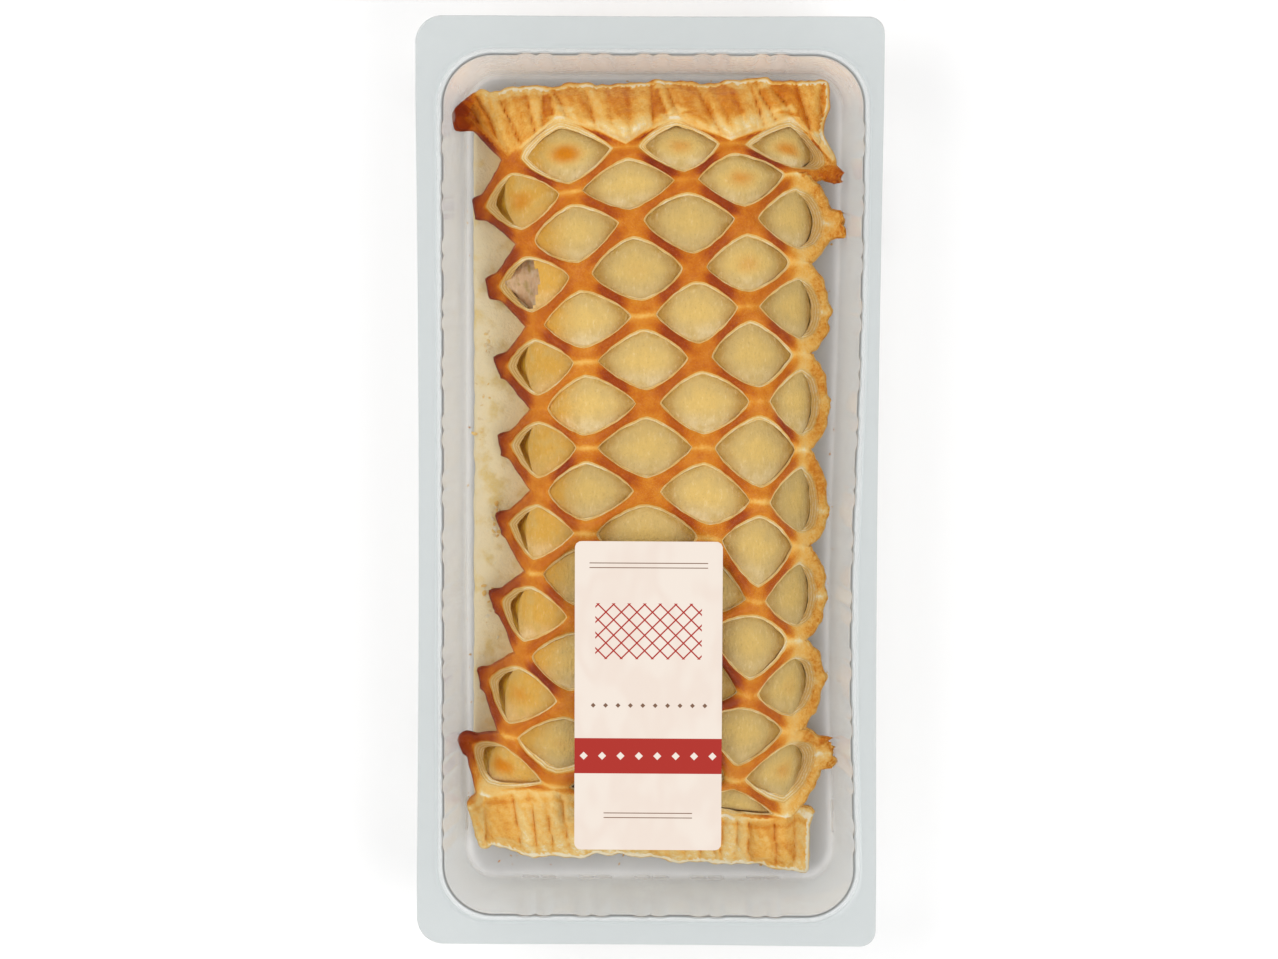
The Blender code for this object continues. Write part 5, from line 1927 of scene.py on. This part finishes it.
def sheet_normals(grid):
    """Directions away from a closed grid of rings, towards the tray's outside."""
    around = np.roll(grid, -1, axis=1) - np.roll(grid, 1, axis=1)
    up = np.gradient(grid, axis=0)
    normal = np.cross(up, around)
    size = np.linalg.norm(normal, axis=-1, keepdims=True)
    normal = np.where(size > 1e-6, normal / np.maximum(size, 1e-6), (0.0, 0.0, -1.0))
    normal[0] = (0.0, 0.0, -1.0)
    normal[-1] = (0.0, 0.0, -1.0)
    return normal


# Heights of the film's two faces above its solid's underside, in millimetres, and the shares of
# the way of its rings from the middle to the edge
FILM_LAYERS = (0.05, 0.13)
FILM_SPREADS = (0.0, 0.2, 0.4, 0.55, 0.7, 0.82, 0.92, 1.0)
FILM_WAVE = 24.0
LABEL_CORNER = 2.0
# Profile of the label, as the share of the way to its edge and the height in millimetres
LABEL_TOP = tuple((part, 0.14) for part in (0.96, 0.8, 0.5, 0.0))
LABEL_PROFILE = ((0.0, 0.0), (1.0, 0.0), (1.0, 0.12), *LABEL_TOP)


def film_mesh(finish, pack):
    """Clear film over the whole flange, with slow waves where nothing backs it."""
    outline, outs = cavity_outline(FILM_PITCH)
    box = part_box("film")
    edge = flange_edge(outline, outs, box)
    middle = outline.mean(axis=0)
    bottom = (box[0] / MM).z
    shell = Shell()
    rims = []
    for layer in FILM_LAYERS:
        rings = []
        for part in FILM_SPREADS:
            place = mix(middle, edge, part)
            wave = waver(place[:, 0], place[:, 1], FILM_WAVE) * pack.ripple / MM
            rings.append(raised(place, bottom + layer + wave * (1 - part**4)))
        shell.grid(np.array(rings), closed=True)
        rims.append(rings[-1])
    shell.grid(np.array(rims), closed=True)
    return shell.make("lid_film", finish, merge=0.002)


def label_mesh(finish):
    """Label of thin paper with rounded corners, lying on the film."""
    low, high = (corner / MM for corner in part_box("label"))
    arcs = [arc for arc, _ in corner_arcs(low, high, LABEL_CORNER, 8)]
    outline = resampled(np.concatenate(arcs), LABEL_PITCH)
    middle = outline.mean(axis=0)
    rings = []
    for part, height in LABEL_PROFILE:
        place = mix(middle, outline, part)
        wave = waved(place[:, 0], place[:, 1], LABEL_WAVES)
        rings.append(raised(place, low.z + height + wave))
    shell = Shell()
    shell.grid(np.array(rings), closed=True)
    return shell.make("paper_label", finish, merge=0.002)


class FlakeSpot(NamedTuple):
    """Spot of the bottom sheet with loose flakes, in millimetres."""

    x: float
    y: float
    half_x: float
    half_y: float
    count: int


FLAKE_SPOTS = (
    FlakeSpot(-53.4, 44.6, 1.0, 3.6, 22),
    FlakeSpot(-50.2, -14.0, 1.3, 6.0, 34),
    FlakeSpot(-55.0, 22.0, 2.5, 10.0, 14),
    FlakeSpot(-53.0, -45.0, 2.5, 9.0, 12),
)
# Heights that crumbs rest at, in millimetres, and the ranges of their sizes and flatness
BASE_TOP = 5.0
TRAY_FLOOR_TOP = 0.52
CRUMB_SIZES = (0.18, 0.62)
CRUMB_FLATS = (0.3, 0.6)
FLAKE_SIZES = (0.3, 1.1)
FLAKE_FLATS = (0.12, 0.3)
# Where crumbs lie on the tray's floor, as runs along x or y in millimetres
BESIDE_LEFT = (-60.5, -59.0)
BESIDE_RIGHT = (58.5, 62.0)
BESIDE_LENGTH = (-125, 128)
BEYOND_NEAR = (-131, -125.5)
BEYOND_FAR = (128.5, 130.5)
BEYOND_WIDTH = (-50, 50)
BEYOND_SHARE = 0.45


class Crumb(NamedTuple):
    """One loose crumb: its place, the height that it rests at, its size and its flatness."""

    x: float
    y: float
    rest: float
    size: float
    flat: float


def crumb_places(draw, count):
    """Crumbs on the tray's floor round the pastry, and flakes on the bottom sheet's strip."""
    crumbs = []
    for _ in range(count):
        y = draw.uniform(*BESIDE_LENGTH)
        side = draw.choice((-1, 1))
        x = draw.uniform(*BESIDE_LEFT) if side < 0 else draw.uniform(*BESIDE_RIGHT)
        if draw.random() < BEYOND_SHARE:
            x = draw.uniform(*BEYOND_WIDTH)
            y = draw.choice((draw.uniform(*BEYOND_NEAR), draw.uniform(*BEYOND_FAR)))
        size, flat = draw.uniform(*CRUMB_SIZES), draw.uniform(*CRUMB_FLATS)
        crumbs.append(Crumb(x, y, TRAY_FLOOR_TOP, size, flat))
    for spot in FLAKE_SPOTS:
        for _ in range(spot.count):
            x = spot.x + draw.normal(0.0, 0.6) * spot.half_x
            y = spot.y + draw.uniform(-1, 1) * spot.half_y
            size, flat = draw.uniform(*FLAKE_SIZES), draw.uniform(*FLAKE_FLATS)
            crumbs.append(Crumb(x, y, BASE_TOP, size, flat))
    return crumbs


def crumb_mesh(finish, count):
    """Loose crumbs and flakes on the tray's floor and on the bottom sheet, round the pastry."""
    draw = np.random.default_rng(5)
    ball = bmesh.new()
    bmesh.ops.create_icosphere(ball, subdivisions=1, radius=1.0)
    corners = np.array([tuple(vertex.co) for vertex in ball.verts])
    sides = np.array([[vertex.index for vertex in face.verts] for face in ball.faces])
    ball.free()
    points = []
    faces = []
    bakes = []
    for number, crumb in enumerate(crumb_places(draw, count)):
        squash = np.array((1.0, draw.uniform(0.4, 0.9), crumb.flat))
        lumps = 1 + 0.35 * draw.uniform(-1, 1, len(corners))[:, None]
        turn = draw.uniform(0, 2 * math.pi)
        cos, sin = math.cos(turn), math.sin(turn)
        spin = np.array(((cos, -sin, 0), (sin, cos, 0), (0, 0, 1)))
        lump = (corners * lumps * squash * crumb.size) @ spin
        lump += (crumb.x, crumb.y, crumb.rest - lump[:, 2].min())
        points.append(lump)
        faces.append(sides + number * len(corners))
        on_floor = crumb.rest < BASE_TOP
        bakes.append(np.full(len(lump), draw.uniform(0.0, 0.25) + 0.25 * on_floor))
    mesh = bpy.data.meshes.new("crumbs")
    mesh.from_pydata((np.concatenate(points) * MM).tolist(), [], np.concatenate(faces).tolist())
    add_mark(mesh, "bake", np.concatenate(bakes))
    return show(mesh, finish)


# The stage in metres: the floor, the lamps, and the camera above the pack, a little towards its
# far end
FLOOR_SIZE = 6.0
FLOOR_HEIGHT = -0.0004
LAMP_SIZE = 0.9
LAMP_PLACES = {"lamp_left": (-0.9, 0.35, 1.1), "lamp_right": (0.8, -0.5, 1.2)}
CAMERA_PLACE = Vector((0.01172, 0.09984, 1.12313))
CAMERA_AIM = Vector((-0.00282, 0.00216, 0.038))
CAMERA_UP = Vector((-0.00384, 1.0, 0.0))
CAMERA_LENS = 95.68
CAMERA_SENSOR = 36.0


class PASTRY_OT_stage(Operator):
    """Lays the pale floor and sets the soft light and the camera"""

    bl_idname = "pastry.stage"
    bl_label = "Stage"

    def execute(self, context):
        look = context.scene.pastry_stage
        floor_finish = Finish("pale_floor", Base_Color=look.floor, Roughness=0.9)
        bpy.ops.mesh.primitive_plane_add(size=FLOOR_SIZE, location=(0, 0, FLOOR_HEIGHT))
        floor = context.object
        floor.name = "floor"
        floor.data.materials.append(floor_finish.material)
        world = bpy.data.worlds.new("even_light")
        world.use_nodes = True
        background = world.node_tree.nodes["Background"].inputs
        background["Color"].default_value = (1, 1, 1, 1)
        background["Strength"].default_value = look.sky
        context.scene.world = world
        for name, place in LAMP_PLACES.items():
            lamp = bpy.data.lights.new(name, "AREA")
            lamp.size = LAMP_SIZE
            lamp.energy = look.lamp
            holder = bpy.data.objects.new(name, lamp)
            holder.location = place
            holder.rotation_euler = (-Vector(place)).to_track_quat("-Z", "Y").to_euler()
            context.scene.collection.objects.link(holder)
        self.set_camera(context)
        context.scene.view_settings.view_transform = "Standard"
        return {"FINISHED"}

    def set_camera(self, context):
        """Camera turned so that the pack's length runs up the picture."""
        lens = bpy.data.cameras.new("camera")
        lens.lens = CAMERA_LENS
        lens.sensor_width = CAMERA_SENSOR
        camera = bpy.data.objects.new("camera", lens)
        forward = (CAMERA_AIM - CAMERA_PLACE).normalized()
        right = forward.cross(CAMERA_UP).normalized()
        upward = right.cross(forward)
        turn = Matrix((right, upward, -forward)).transposed().to_4x4()
        camera.matrix_world = Matrix.Translation(CAMERA_PLACE) @ turn
        context.scene.collection.objects.link(camera)
        context.scene.camera = camera


class PASTRY_OT_tray(Operator):
    """Makes the clear tray"""

    bl_idname = "pastry.tray"
    bl_label = "Tray"

    def execute(self, context):
        pack = context.scene.pastry_pack
        settle(tray_mesh(clear_plastic(pack), pack), "clear_plastic", "tray")
        return {"FINISHED"}


class PASTRY_OT_lid(Operator):
    """Makes the film and its label"""

    bl_idname = "pastry.lid"
    bl_label = "Film and label"

    def execute(self, context):
        pack = context.scene.pastry_pack
        settle(film_mesh(clear_film(pack), pack), "clear_film", "film")
        settle(label_mesh(label_paper(pack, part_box("label"))), "label_paper", "label")
        return {"FINISHED"}


class PASTRY_OT_base(Operator):
    """Makes the bottom sheet"""

    bl_idname = "pastry.base"
    bl_label = "Bottom sheet"

    def execute(self, context):
        look = context.scene.pastry_colours
        settle(base_mesh(pale_dough(look)), "pale_dough", "pastry_base")
        return {"FINISHED"}


class PASTRY_OT_filling(Operator):
    """Makes the filling"""

    bl_idname = "pastry.filling"
    bl_label = "Filling"

    def execute(self, context):
        scene = context.scene
        made = filling_mesh(salmon_filling(scene.pastry_colours), scene.pastry_sizes)
        settle(made, "salmon_filling", "pastry_filling")
        return {"FINISHED"}


class PASTRY_OT_cover(Operator):
    """Makes the cover sheet with its pillows"""

    bl_idname = "pastry.cover"
    bl_label = "Cover sheet"

    def execute(self, context):
        scene = context.scene
        made = cover_mesh(cover_dough(scene.pastry_colours), scene.pastry_sizes)
        settle(made, "cover_dough", "pastry_cover")
        return {"FINISHED"}


class PASTRY_OT_lattice(Operator):
    """Makes the lattice sheet"""

    bl_idname = "pastry.lattice"
    bl_label = "Lattice sheet"

    def execute(self, context):
        scene = context.scene
        finish = baked_dough(scene.pastry_colours, "baked_dough")
        settle(lattice_mesh(finish, scene.pastry_sizes), "baked_dough", "pastry_lattice")
        return {"FINISHED"}


class PASTRY_OT_crumbs(Operator):
    """Scatters crumbs in the tray"""

    bl_idname = "pastry.crumbs"
    bl_label = "Crumbs"

    def execute(self, context):
        scene = context.scene
        finish = baked_dough(scene.pastry_colours, "crumb_dough")
        settle(crumb_mesh(finish, scene.pastry_stage.crumbs), "baked_dough")
        return {"FINISHED"}


OPERATORS = (
    PASTRY_OT_stage,
    PASTRY_OT_tray,
    PASTRY_OT_base,
    PASTRY_OT_filling,
    PASTRY_OT_cover,
    PASTRY_OT_lattice,
    PASTRY_OT_crumbs,
    PASTRY_OT_lid,
)


class PASTRY_PT_panel(Panel):
    """Lists the pieces and their settings"""

    bl_idname = "PASTRY_PT_panel"
    bl_label = "Lattice Pastry"
    bl_space_type = "VIEW_3D"
    bl_region_type = "UI"
    bl_category = "Pastry"

    def draw(self, context):
        for operator in OPERATORS:
            self.layout.operator(operator.bl_idname)
        for group in GROUPS:
            box = self.layout.box()
            settings = getattr(context.scene, group)
            for key in GROUPS[group].__annotations__:
                box.prop(settings, key)


GROUPS = {
    "pastry_sizes": PastrySizes,
    "pastry_colours": PastryColours,
    "pastry_pack": PackLook,
    "pastry_stage": StageLook,
}


def register():
    for group in GROUPS.values():
        bpy.utils.register_class(group)
    for name, group in GROUPS.items():
        setattr(bpy.types.Scene, name, PointerProperty(type=group))
    for operator in OPERATORS:
        bpy.utils.register_class(operator)
    bpy.utils.register_class(PASTRY_PT_panel)


def unregister():
    bpy.utils.unregister_class(PASTRY_PT_panel)
    for operator in reversed(OPERATORS):
        bpy.utils.unregister_class(operator)
    for name, group in GROUPS.items():
        delattr(bpy.types.Scene, name)
        bpy.utils.unregister_class(group)


def main():
    register()
    bpy.ops.pastry.stage()
    bpy.ops.pastry.tray()
    bpy.ops.pastry.base()
    bpy.ops.pastry.filling()
    bpy.ops.pastry.cover()
    bpy.ops.pastry.lattice()
    bpy.ops.pastry.crumbs()
    bpy.ops.pastry.lid()


if __name__ == "__main__":
    main()
